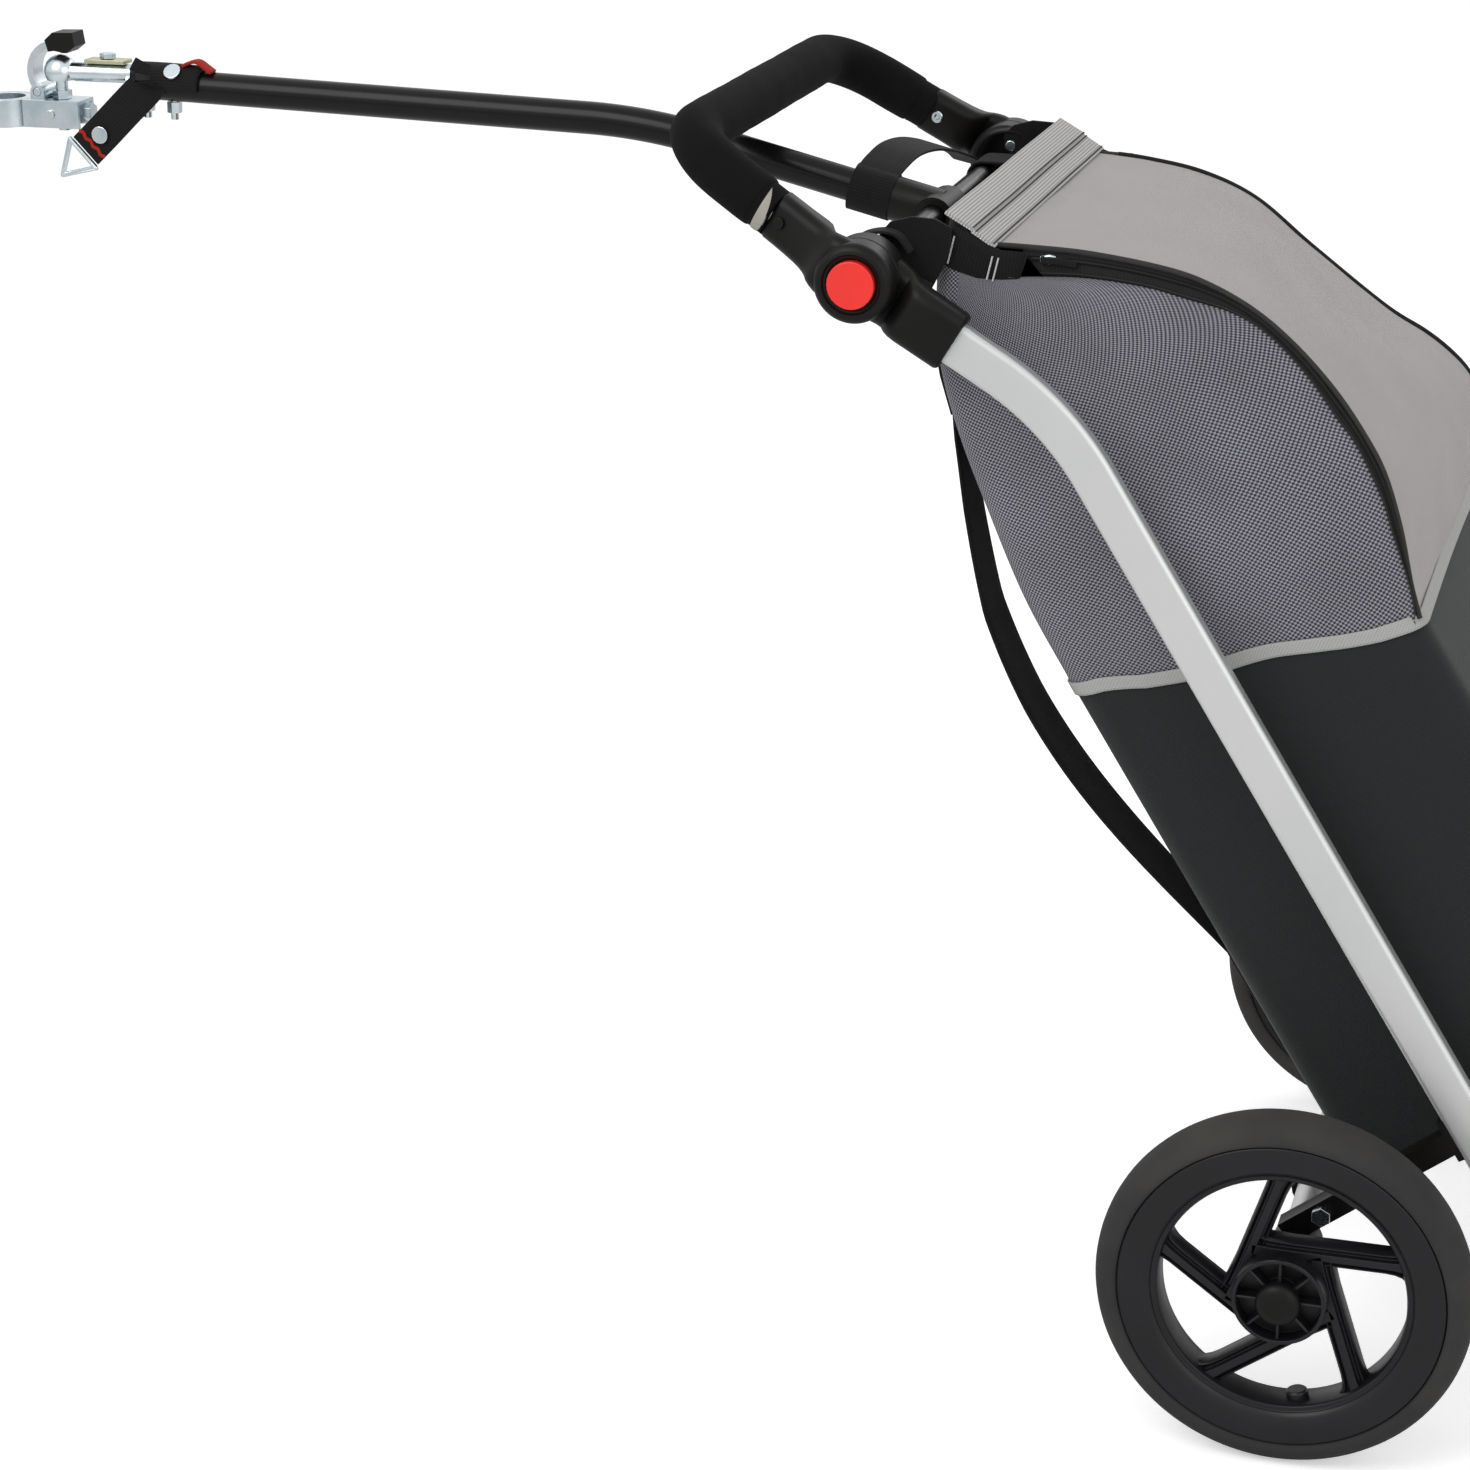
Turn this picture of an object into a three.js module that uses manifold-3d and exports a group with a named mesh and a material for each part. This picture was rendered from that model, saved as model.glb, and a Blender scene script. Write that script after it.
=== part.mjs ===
// A bike shopping trailer: a wheeled shopping frame with a zipped bag, towed by a
// drawbar that hooks onto a ball on the bike's seat post. Millimetres, +Z up,
// +X towards the rear, the left wheel on the -Y side. The origin is the middle of
// the seat post clamp, and the frame leans as it does when it is being towed.
import * as THREE from 'three';
import { mergeVertices } from 'three/addons/utils/BufferGeometryUtils.js';
import Module from 'manifold-3d';

const wasm = await Module();
wasm.setup();

const deg = Math.PI / 180;

// Clearances and overruns
const gap = 0.3;
const play = 0.3;
const cutOver = 6;
const weld = 0.0001;

// Wheels
const wheelRadius = 125;
const track = 552;
const tyreWidth = 40;
const tyreDepth = 21;
const tyreShares = [[0.34, 1], [0.66, 0.94], [0.9, 0.66], [1, 0.24]];
const rimWidth = 34;
const rimWall = 5;
const rimDepth = 22;
const rimLip = 4;
const hubRadius = 31;
const hubNeck = 17;
const hubWall = 3;
const hubCup = 12;
const hubInside = 22;
const hubOutside = 24;
const hubBoss = 12;
const hubRibs = 8;
const hubRibThick = 2;
const spokeCount = 5;
const spokeWide = 15;
const spokeThick = 20;
const spokeStart = 18.8 * deg;
const spokeOffset = 29;
const capRadius = 15;
const capHeight = 8;
const capShares = [[1, 0.5], [0.8, 0.85], [0.4, 1]];
const journalRadius = 6;

// Side tubes and the axle behind them
const tubeSpan = 438;
const tubeWide = 28;
const tubeThick = 14;
const tubeWall = 2;
const tubeSlope = 58.3 * deg;
const tubeTurn = 26.9 * deg;
const tubeBendRadius = 200;
const bendRise = 574;
const hubReach = 152;
const axleSetback = 148;
const axleRadius = 11.5;
const tubeFoot = 109;
const footLength = 40;
const footSole = 16;
const footWall = 3.5;

// Axle brackets and the bar under the bag
const bracketThick = 26;
const bracketRing = 16.5;
const bracketClasp = 30;
const bracketArmThick = 16;
const bracketArmHigh = 16;
const bracketArmRise = 14;
const bracketRise = 28;
const bracketBoltRadius = 4;
const bracketBoltHead = 7;
const bracketBoltHeadHeight = 5;
const deckRadius = 6;
const deckSpan = 240;
const deckReach = 96;
const deckBendRadius = 40;
const deckEyeWall = 4;
const deckEyeLong = 24;

// Handle hubs, their sleeves and the top cross tube
const discRadius = 26;
const discInside = 22;
const discOutside = 21;
const sleeveLength = 73;
const sleeveWide = 40;
const sleeveThick = 24;
const sleeveSocket = 32;
const armLength = 70;
const armWide = 33;
const armThick = 22;
const armSocket = 34;
const topTubeRadius = 9;
const topTubeWall = 2;
const hingePinRadius = 6;
const lockPinRadius = 4;
const lockPinLength = 17;
const lockPinOffset = 17;

// Handle loop
const handleReach = 149;
const handleNarrow = 31;
const handleTubeRadius = 11;
const handleTubeWall = 2;
const handleBendRadius = 54;
const gripRadius = 17.5;
const gripBareLength = 9;
const rivetRadius = 4;
const rivetHeight = 2;
const rivetPlace = 60;

// Push buttons
const buttonRadius = 15.5;
const buttonHeight = 10;
const buttonProud = 2.5;
const buttonTravel = 4;
const buttonFloor = 0.5;

// Drawbar
const drawbarRadius = 11.5;
const drawbarWall = 2;
const drawbarBend = 12.2 * deg;
const drawbarBendRadius = 420;
const drawbarRearRun = 218;
const drawbarFrontRun = 391;
const drawbarRearSlope = 14.1 * deg;
const teeRingRadius = 14.5;
const teeWide = 46;
const teeSocketRadius = 15.5;
const teeSocketLength = 44;
const teeCapRadius = 12.5;
const teeCapHeight = 4;
const stubRadius = 7;
const stubLength = 49.4;
const stubRise = 6;
const stubShoulder = 6;
const stubInsert = 50;
const drawbarBoltRadius = 3;
const drawbarBoltInset = 7;
const drawbarBoltPitch = 21.5;
const drawbarNutRadius = 5.5;
const drawbarNutHeight = 8;
const drawbarBoltTail = 5;

// Ball coupling on the bike
const ballRadius = 8;
const ballPlay = 0.6;
const socketWall = 4.3;
const socketSkirt = 6;
const neckRadius = 4.5;
const neckHeight = 20;
const shankTail = 3;
const studNutRadius = 7;
const studNutHeight = 6;
const couplingWide = 26;
const couplingHigh = 20;
const couplingWall = 3;
const couplingBehindBall = 18;
const couplingRivetRadius = 3.5;
const couplingRivetHeight = 1.6;
const couplingBoltRadius = 7;
const couplingBoltHeight = 6;
const couplingBoltDrop = 9;
const lockPlateLong = 32;
const lockPlateWide = 14;
const lockPlateThick = 3;
const lockPlateInset = 1;
const lockScrewRadius = 6;
const lockScrewHeight = 4;

// Latch hook over the ball socket
const hookInner = 18.5;
const hookThick = 5;
const hookWide = 16;
const hookPivotBack = 15;
const hookPivotRadius = 3;
const hookEyeRadius = 5.5;
const hookEnd = 66 * deg;
const latchGripLong = 24;
const latchGripWide = 18;
const latchGripHigh = 15;
const latchGripRear = 17;
const latchGripOver = 6;
const latchGripShares = [[0, 0.6], [0.27, 0.97], [0.94, 1], [1, 0.33], [0.72, 0], [0.1, 0]];

// Seat post clamp
const postRadius = 14;
const clampRadius = 22;
const clampHigh = 20;
const clampSplit = 4;
const clampEar = 15;
const clampEarThick = 8;
const clampBoltRadius = 3;
const clampBoltHead = 5.5;
const clampBoltHeadHeight = 5;
const clampToBall = 46;

// Safety strap from the drawbar to the bike
const webThick = 2;
const safetyWide = 27;
const saddleLong = 52;
const safetyRun = 72;
const safetySlope = 43 * deg;
const snapRadius = 6.5;
const snapHeight = 2;
const snapInset = 19;
const ringWire = 2;
const ringSide = 28;

// Tie strap from the drawbar to the right-hand hub
const tieWide = 30;
const tieFromHub = 48;

// Bag
const bagWidth = 356;
const bagWall = 2.5;
const bagBack = 103;
const bagFoot = 118;
const bagHeight = 714;
const bagBackShares = [[0.56, 1], [0.756, 0.87], [0.877, 0.71], [0.966, 0.31], [1, 0.12]];
const bagCorner = 26;
const lidStart = 676;
const lidStartFore = 10;
const lidEnd = 352;
const lidEndFore = 128;
const lidCrown = 63;
const lidCrownShares = [
  [0.12, 0.5], [0.24, 0.84], [0.34, 0.96], [0.45, 1], [0.55, 0.99], [0.65, 0.95], [0.77, 0.85],
  [0.86, 0.65], [0.94, 0.36],
];
const tabLong = 36;
const tabThick = 3;
const loopWide = 36;
const loopHang = 24;
const loopInset = 14;

// Carrying straps on the back of the bag
const strapWide = 36;
const strapInset = 26;
const strapLow = 178;
const strapHigh = 604;
const strapBow = 38;

// Directions and places that follow from the sizes above
const trackHalf = track / 2;
const tubeHalf = tubeSpan / 2;
const bagHalf = bagWidth / 2;
const up = new THREE.Vector3(-Math.cos(tubeSlope), 0, Math.sin(tubeSlope));
const fore = new THREE.Vector3(Math.sin(tubeSlope), 0, Math.cos(tubeSlope));
const side = new THREE.Vector3(0, 1, 0);
const above = new THREE.Vector3(0, 0, 1);
const rearward = new THREE.Vector3(1, 0, 0);
const ahead = new THREE.Vector3(-1, 0, 0);
const hands = [['left', -1], ['right', 1]];
const axleCentre = new THREE.Vector3(0, 0, wheelRadius);
const deckCentre = axleCentre.clone().addScaledVector(fore, axleSetback);
const rimRadius = wheelRadius - tyreDepth;
const rimInner = rimRadius - rimDepth;

// A point given by its height along the side tubes and its distance in front of them
function onFrame(rise, ahead, y = 0) {
  return deckCentre.clone().addScaledVector(up, rise).addScaledVector(fore, ahead).setY(y);
}

const hubCentre = onFrame(
  bendRise + hubReach * Math.cos(tubeTurn), -hubReach * Math.sin(tubeTurn));
const topRun = up.clone().multiplyScalar(Math.cos(tubeTurn))
  .addScaledVector(fore, -Math.sin(tubeTurn));
const topSide = fore.clone().multiplyScalar(Math.cos(tubeTurn))
  .addScaledVector(up, Math.sin(tubeTurn));

// A point given from the handle hub, along the handle and square to it
function onHandle(run, across, y = 0) {
  return hubCentre.clone().addScaledVector(topRun, run).addScaledVector(topSide, across).setY(y);
}

// The drawbar runs forward and up from the top tube, bends, and ends near the ball
const rearDir = new THREE.Vector3(-Math.cos(drawbarRearSlope), 0, Math.sin(drawbarRearSlope));
const frontSlope = drawbarRearSlope - drawbarBend;
const frontDir = new THREE.Vector3(-Math.cos(frontSlope), 0, Math.sin(frontSlope));
const drawbarStart = hubCentre.clone().addScaledVector(rearDir, topTubeRadius + gap);
const drawbarCorner = hubCentre.clone().addScaledVector(rearDir, drawbarRearRun);
const drawbarEnd = drawbarCorner.clone().addScaledVector(frontDir, drawbarFrontRun);
const stubStart = drawbarEnd.clone().setZ(drawbarEnd.z + stubRise);
const ballCentre = stubStart.clone().setX(stubStart.x - stubLength - ballRadius - socketWall);
const couplingTop = ballCentre.z - neckHeight;
const couplingRear = ballCentre.x + couplingBehindBall;
const couplingMid = couplingTop - couplingHigh / 2;
const clampCentre = new THREE.Vector3(ballCentre.x - clampToBall, 0, couplingMid);

// Finishes
const finishes = {
  alloy: { color: 0xb9bcbd, roughness: 0.42, metalness: 0.85 },
  steel: { color: 0xb8bfc4, roughness: 0.3, metalness: 0.95 },
  blackTube: { color: 0x141414, roughness: 0.28, metalness: 0.2 },
  plastic: { color: 0x1b1b1c, roughness: 0.5, metalness: 0 },
  greyPlastic: { color: 0x6d6e70, roughness: 0.6, metalness: 0 },
  foam: { color: 0x181716, roughness: 0.95, metalness: 0 },
  rubber: { color: 0x4a4a48, roughness: 0.85, metalness: 0 },
  red: { color: 0xe23a2a, roughness: 0.35, metalness: 0 },
  webbing: { color: 0x161616, roughness: 0.9, metalness: 0 },
  greyCloth: { color: 0x8d8c90, roughness: 0.9, metalness: 0 },
  blackCloth: { color: 0x1d2021, roughness: 0.85, metalness: 0 },
};

// A closed geometry as a solid that can be joined and cut, always with its faces out
function solid(geometry) {
  const bare = geometry.clone();
  bare.deleteAttribute('normal');
  bare.deleteAttribute('uv');
  const merged = mergeVertices(bare, weld);
  const places = new Float32Array(merged.attributes.position.array);
  const faces = new Uint32Array(merged.index.array);
  let volume = 0;
  for (let i = 0; i < faces.length; i += 3) {
    const [a, b, c] = [0, 1, 2].map((k) => new THREE.Vector3().fromArray(places, 3 * faces[i + k]));
    volume += a.dot(b.cross(c));
  }
  if (volume < 0) {
    for (let i = 0; i < faces.length; i += 3) {
      [faces[i + 1], faces[i + 2]] = [faces[i + 2], faces[i + 1]];
    }
  }
  return new wasm.Manifold(new wasm.Mesh({ numProp: 3, vertProperties: places, triVerts: faces }));
}

function geometryOf(body) {
  const mesh = body.getMesh();
  const geometry = new THREE.BufferGeometry();
  geometry.setAttribute('position', new THREE.BufferAttribute(mesh.vertProperties, 3));
  geometry.setIndex(new THREE.BufferAttribute(mesh.triVerts, 1));
  geometry.computeVertexNormals();
  return geometry;
}

function join(first, ...rest) {
  return rest.reduce((body, next) => body.add(next), first);
}

function cut(first, ...rest) {
  return rest.reduce((body, next) => body.subtract(next), first);
}

// A round bar between two points
function bar(from, to, radius, sides = 16, endRadius = radius) {
  const run = to.clone().sub(from);
  const shape = new THREE.CylinderGeometry(endRadius, radius, run.length(), sides);
  shape.applyQuaternion(new THREE.Quaternion().setFromUnitVectors(side, run.clone().normalize()));
  shape.translate(...from.clone().add(to).multiplyScalar(0.5).toArray());
  return solid(shape);
}

// A round bar across the trailer, between two values of y
function barAcross(centre, y0, y1, radius, sides = 16) {
  return bar(centre.clone().setY(y0), centre.clone().setY(y1), radius, sides);
}

// A hexagon head or nut along a direction
function hexagon(from, direction, height, radius) {
  return bar(from, from.clone().addScaledVector(direction, height), radius, 6);
}

// A turned shape about the Y direction; the profile holds pairs of radius and y
function turned(profile, centre, segments) {
  const points = profile.map(([radius, y]) => new THREE.Vector2(radius, y));
  const shape = new THREE.LatheGeometry(points, segments);
  shape.translate(centre.x, centre.y, centre.z);
  return solid(shape);
}

// A flat outline in the side view, given thickness between two values of y
function slab(outline, y0, y1) {
  const depth = y1 - y0;
  const shape = new THREE.ExtrudeGeometry(outline, { depth, bevelEnabled: false, curveSegments: 6 });
  shape.rotateX(90 * deg);
  shape.translate(0, y1, 0);
  return solid(shape);
}

function outlineOf(places) {
  return new THREE.Shape(places.map((p) => new THREE.Vector2(p.x, p.z)));
}

// A box given by a centre, three unit directions and three full lengths
function block(centre, directions, lengths) {
  const shape = new THREE.BoxGeometry(...lengths);
  shape.applyMatrix4(new THREE.Matrix4().makeBasis(...directions).setPosition(centre));
  return solid(shape);
}

// A route of straight runs joined by round bends, for tubes
class BentPath extends THREE.Curve {
  constructor(corners, bendRadius, bendSteps) {
    super();
    this.places = [corners[0]];
    this.headings = [];
    for (let i = 1; i < corners.length - 1; i += 1) {
      const into = corners[i].clone().sub(corners[i - 1]).normalize();
      const out = corners[i + 1].clone().sub(corners[i]).normalize();
      const turn = into.angleTo(out);
      const toCentre = out.clone().addScaledVector(into, -Math.cos(turn)).normalize();
      const start = corners[i].clone().addScaledVector(into, -bendRadius * Math.tan(turn / 2));
      if (i === 1) this.headings.push(into);
      for (let k = 0; k <= bendSteps; k += 1) {
        const angle = turn * k / bendSteps;
        const along = bendRadius * Math.sin(angle);
        const aside = bendRadius * (1 - Math.cos(angle));
        this.places.push(start.clone().addScaledVector(into, along).addScaledVector(toCentre, aside));
        this.headings.push(into.clone().multiplyScalar(Math.cos(angle))
          .addScaledVector(toCentre, Math.sin(angle)));
      }
    }
    const last = corners[corners.length - 1];
    this.places.push(last);
    this.headings.push(last.clone().sub(corners[corners.length - 2]).normalize());
  }
  getSpacedPoints() {
    return this.places;
  }
  getTangentAt(share) {
    return this.headings[Math.round(share * (this.headings.length - 1))].clone();
  }
  get steps() {
    return this.places.length - 1;
  }
}

function circleOutline(radius, sides = 16) {
  const ring = new THREE.Shape();
  for (let i = 0; i < sides; i += 1) {
    const angle = 2 * Math.PI * (i + 0.5) / sides;
    const place = [radius * Math.cos(angle), radius * Math.sin(angle)];
    if (i === 0) ring.moveTo(...place);
    else ring.lineTo(...place);
  }
  return ring;
}

// A flat oval: two half circles joined by straight sides
function ovalOutline(thick, wide, arcSteps = 5) {
  const radius = thick / 2;
  const straight = wide / 2 - radius;
  const places = [];
  for (const end of [1, -1]) {
    for (let i = 0; i <= arcSteps; i += 1) {
      const angle = Math.PI * i / arcSteps;
      places.push(new THREE.Vector2(
        end * radius * Math.cos(angle), end * (straight + radius * Math.sin(angle))));
    }
  }
  return new THREE.Shape(places);
}

function swept(path, outline, hole) {
  if (hole) outline.holes.push(hole);
  return solid(new THREE.ExtrudeGeometry(
    outline, { steps: path.steps, extrudePath: path, bevelEnabled: false, curveSegments: 1 }));
}

// The group that is exported, with every piece moved so that the clamp is at the origin
const trailer = new THREE.Group();
trailer.position.copy(clampCentre).multiplyScalar(-1);

function add(name, body, finish) {
  const mesh = new THREE.Mesh(geometryOf(body), new THREE.MeshStandardMaterial(finishes[finish]));
  mesh.name = name;
  trailer.add(mesh);
}

// Wheel: a tyre, a rim with pinwheel spokes round a ribbed hub cup, and a domed cap.
// It is made with its outer face towards +Y and turned round for the left side.
function wheelPieces(hand) {
  const centre = axleCentre.clone().setY(hand * trackHalf);
  const origin = new THREE.Vector3();
  const halfTyre = tyreWidth / 2;
  const halfRim = rimWidth / 2;
  const tyreSide = rimRadius + gap;
  const tyreProfile = [[tyreSide, -halfRim], [tyreSide, halfRim]];
  for (const [heightShare, widthShare] of tyreShares) {
    tyreProfile.push([tyreSide + (tyreDepth - gap) * heightShare, halfTyre * widthShare]);
  }
  for (const [heightShare, widthShare] of [...tyreShares].reverse()) {
    tyreProfile.push([tyreSide + (tyreDepth - gap) * heightShare, -halfTyre * widthShare]);
  }
  tyreProfile.push([tyreSide, -halfRim]);
  const tyre = turned(tyreProfile, origin, 56);

  const rimFloor = rimRadius - rimWall;
  const channel = rimInner + rimWall;
  const rimRing = turned([
    [rimInner, -halfRim + rimLip], [channel, -halfRim + rimLip], [channel, -halfRim],
    [rimRadius, -halfRim], [rimRadius, halfRim], [channel, halfRim],
    [channel, halfRim - rimLip], [rimInner, halfRim - rimLip], [rimInner, -halfRim + rimLip],
  ], origin, 40);
  const spokes = [];
  for (let i = 0; i < spokeCount; i += 1) {
    const angle = spokeStart + 2 * Math.PI * i / spokeCount;
    const rootAngle = angle - Math.acos(spokeOffset / rimFloor);
    const root = new THREE.Vector3(
      spokeOffset * Math.cos(rootAngle), 0, spokeOffset * Math.sin(rootAngle));
    const tip = new THREE.Vector3(rimFloor * Math.cos(angle), 0, rimFloor * Math.sin(angle));
    const run = tip.clone().sub(root);
    const length = run.length();
    run.normalize();
    const across = new THREE.Vector3().crossVectors(run, side);
    spokes.push(block(
      root.clone().add(tip).multiplyScalar(0.5), [run, side, across], [length, spokeThick, spokeWide]));
  }
  const hub = turned([
    [journalRadius + play, -hubInside], [hubNeck, -hubInside], [hubNeck, -spokeThick / 2],
    [hubRadius, -spokeThick / 2], [hubRadius, hubOutside],
    [hubRadius - hubWall, hubOutside], [hubRadius - hubWall, hubOutside - hubCup],
    [hubBoss, hubOutside - hubCup], [hubBoss, hubOutside], [journalRadius + play, hubOutside],
    [journalRadius + play, -hubInside],
  ], origin, 32);
  const ribs = [];
  for (let i = 0; i < hubRibs; i += 1) {
    const angle = 2 * Math.PI * i / hubRibs;
    const outward = new THREE.Vector3(Math.cos(angle), 0, Math.sin(angle));
    const across = new THREE.Vector3().crossVectors(outward, side);
    const middle = (hubBoss + hubRadius) / 2 - hubWall / 2;
    ribs.push(block(
      outward.clone().multiplyScalar(middle).setY(hubOutside - hubCup / 2 - hubWall / 2),
      [outward, side, across], [hubRadius - hubBoss, hubCup - hubWall, hubRibThick]));
  }
  const bore = barAcross(
    origin, -hubInside - cutOver, hubOutside + cutOver, journalRadius + play, 16);
  const rim = cut(join(rimRing, ...spokes, hub, ...ribs), bore);

  const capBase = hubOutside + gap;
  const capSteps = capShares.map(([radiusShare, heightShare]) => [
    capRadius * radiusShare, capBase + capHeight * heightShare]);
  const cap = turned([
    [0, capBase], [capRadius, capBase], ...capSteps, [0, capBase + capHeight]], origin, 24);
  const turn = hand < 0 ? 180 : 0;
  return [tyre, rim, cap].map((piece) => piece.rotate([0, 0, turn]).translate(centre.toArray()));
}

// The straight axle: a tube between the brackets with a thinner journal in each wheel
function axlePiece() {
  const shoulder = trackHalf - hubInside - gap;
  const tip = trackHalf + hubOutside - gap;
  return join(
    barAcross(axleCentre, -shoulder, shoulder, axleRadius, 20),
    barAcross(axleCentre, -tip, tip, journalRadius, 16));
}

// A moulded bracket that grips the axle and a side tube, with the bolt that closes it
function bracketPieces(hand) {
  const middle = hand * tubeHalf;
  const inner = middle - bracketThick / 2;
  const outer = middle + bracketThick / 2;
  const armFoot = onFrame(bracketArmRise, -axleSetback, middle);
  const armHead = onFrame(bracketRise, 0, middle);
  const run = armHead.clone().sub(armFoot);
  const length = run.length();
  run.normalize();
  const across = new THREE.Vector3().crossVectors(run, side);
  const clasp = block(armHead, [fore, side, up], [tubeWide + 2 * footWall, bracketThick, bracketClasp]);
  const arm = block(armFoot.clone().addScaledVector(run, length / 2), [run, side, across],
    [length, bracketArmThick, bracketArmHigh]);
  const ring = barAcross(axleCentre, inner, outer, bracketRing, 24);
  const axleHole = barAcross(axleCentre, inner - cutOver, outer + cutOver, axleRadius + gap, 20);
  const tubeHole = swept(
    new BentPath([onFrame(bracketRise - bracketClasp, 0, middle),
      onFrame(bracketRise + bracketClasp, 0, middle)], 0, 1),
    ovalOutline(tubeThick + 2 * gap, tubeWide + 2 * gap));
  const boltAt = armFoot.clone().addScaledVector(run, bracketRing + 2 * bracketBoltHead);
  const boltHole = barAcross(boltAt, inner - cutOver, outer + cutOver, bracketBoltRadius + gap, 12);
  const body = cut(join(arm, clasp, ring), axleHole, tubeHole, boltHole);
  const armFace = middle + hand * bracketArmThick / 2;
  const armBack = middle - hand * bracketArmThick / 2;
  const out = side.clone().multiplyScalar(hand);
  const headFace = boltAt.clone().setY(armFace + hand * gap);
  const headMid = headFace.clone().addScaledVector(out, bracketBoltHeadHeight / 2);
  const bolt = join(
    bar(boltAt.clone().setY(armBack), headMid, bracketBoltRadius, 12),
    hexagon(headFace, out, bracketBoltHeadHeight, bracketBoltHead));
  return [body, bolt];
}

// One side tube, from its foot up round the bend to the socket in the sleeve
function sideTubePiece(hand) {
  const y = hand * tubeHalf;
  const path = new BentPath(
    [onFrame(-tubeFoot, 0, y), onFrame(bendRise, 0, y), onHandle(-sleeveSocket, 0, y)],
    tubeBendRadius, 7);
  return swept(path, ovalOutline(tubeThick, tubeWide),
    ovalOutline(tubeThick - 2 * tubeWall, tubeWide - 2 * tubeWall));
}

// A moulded cap that closes the lower end of a side tube
function footPiece(hand) {
  const y = hand * tubeHalf;
  const sole = -tubeFoot - footSole;
  const shell = swept(new BentPath([onFrame(sole, 0, y), onFrame(sole + footLength, 0, y)], 0, 1),
    ovalOutline(tubeThick + 2 * footWall, tubeWide + 2 * footWall));
  const room = swept(
    new BentPath([onFrame(-tubeFoot - gap, 0, y), onFrame(sole + footLength + cutOver, 0, y)], 0, 1),
    ovalOutline(tubeThick + 2 * gap, tubeWide + 2 * gap));
  return cut(shell, room);
}

// The bent bar that the bag stands on: forward from an eye on the axle and back to the other
function deckPiece() {
  const half = deckSpan / 2;
  const rise = -deckRadius;
  const back = axleRadius + deckEyeWall - axleSetback;
  const path = new BentPath([
    onFrame(rise, back, -half), onFrame(rise, deckReach, -half),
    onFrame(rise, deckReach, half), onFrame(rise, back, half)], deckBendRadius, 5);
  const eyes = hands.map(([, hand]) => barAcross(
    axleCentre, hand * half - deckEyeLong / 2, hand * half + deckEyeLong / 2,
    axleRadius + gap + deckEyeWall, 20));
  const hole = barAcross(axleCentre, -trackHalf, trackHalf, axleRadius + gap, 20);
  return cut(join(swept(path, circleOutline(deckRadius, 10)), ...eyes), hole);
}

// The fixed half of a handle hub: a disc on the inside and the sleeve round the side tube
function sleevePiece(hand) {
  const y = hand * tubeHalf;
  const inside = y - hand * discInside;
  const meet = y - hand * gap / 2;
  const disc = barAcross(hubCentre, Math.min(inside, meet), Math.max(inside, meet), discRadius, 32);
  const length = sleeveLength - Math.sqrt(discRadius ** 2 - (sleeveWide / 2) ** 2);
  const body = block(onHandle(-sleeveLength + length / 2, 0, y),
    [topRun, side, topSide], [length, sleeveThick, sleeveWide]);
  const room = barAcross(
    hubCentre, Math.min(meet, meet + hand * discRadius), Math.max(meet, meet + hand * discRadius),
    discRadius + play, 32);
  const socket = swept(
    new BentPath([onHandle(-sleeveLength - cutOver, 0, y), onHandle(gap - sleeveSocket, 0, y)], 0, 1),
    ovalOutline(tubeThick + 2 * gap, tubeWide + 2 * gap));
  const pinEnd = buttonFloorFace(hand) - hand * (buttonFloor + 2 * gap);
  const pin = barAcross(hubCentre, Math.min(inside, pinEnd), Math.max(inside, pinEnd), hingePinRadius, 16);
  return join(cut(join(cut(body, room), disc), socket), pin);
}

// The bottom of a push button's pocket
function buttonFloorFace(hand) {
  const depth = buttonHeight - buttonProud + buttonTravel + gap;
  return hand * (tubeHalf + discOutside - depth);
}

// A point on the centre line of a handle arm, which leans inward as it leaves its hub
function armPoint(run, hand) {
  return onHandle(run, 0, hand * (tubeHalf - handleNarrow * run / handleReach));
}

// The direction of an arm, and the direction across it towards +Y
function armDirections(hand) {
  const run = armPoint(handleReach, hand).sub(armPoint(0, hand)).normalize();
  return [run, new THREE.Vector3().crossVectors(topSide, run)];
}

// The moving half of a handle hub: a disc on the outside with the button pocket, and the arm
function armPiece(hand) {
  const y = hand * tubeHalf;
  const outside = y + hand * discOutside;
  const meet = y + hand * gap / 2;
  const disc = barAcross(hubCentre, Math.min(outside, meet), Math.max(outside, meet), discRadius, 32);
  const start = Math.sqrt(discRadius ** 2 - (armWide / 2) ** 2);
  const [run, across] = armDirections(hand);
  const body = block(
    armPoint(start, hand).add(armPoint(armLength, hand)).multiplyScalar(0.5),
    [run, across, topSide], [armLength - start, armThick, armWide]);
  const room = barAcross(
    hubCentre, Math.min(meet, meet - hand * discRadius), Math.max(meet, meet - hand * discRadius),
    discRadius + play, 32);
  const socket = bar(armPoint(armSocket - gap, hand), armPoint(armLength + cutOver, hand),
    handleTubeRadius + gap, 16);
  const floor = buttonFloorFace(hand);
  const over = outside + hand * cutOver;
  const pocket = barAcross(hubCentre, Math.min(floor, over), Math.max(floor, over), buttonRadius + play, 28);
  const pinEnd = floor - hand * (buttonFloor + gap);
  const pinFrom = meet - hand * cutOver;
  const pinHole = barAcross(hubCentre, Math.min(pinFrom, pinEnd), Math.max(pinFrom, pinEnd),
    hingePinRadius + play, 16);
  return cut(join(cut(body, room), disc), socket, pocket, pinHole);
}

// The silver lock pin on the inner face of a handle hub
function lockPinPiece(hand) {
  const near = hand * (tubeHalf - discInside - gap);
  const far = near - hand * lockPinLength;
  return barAcross(
    onHandle(0, lockPinOffset), Math.min(near, far), Math.max(near, far), lockPinRadius, 12);
}

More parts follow.
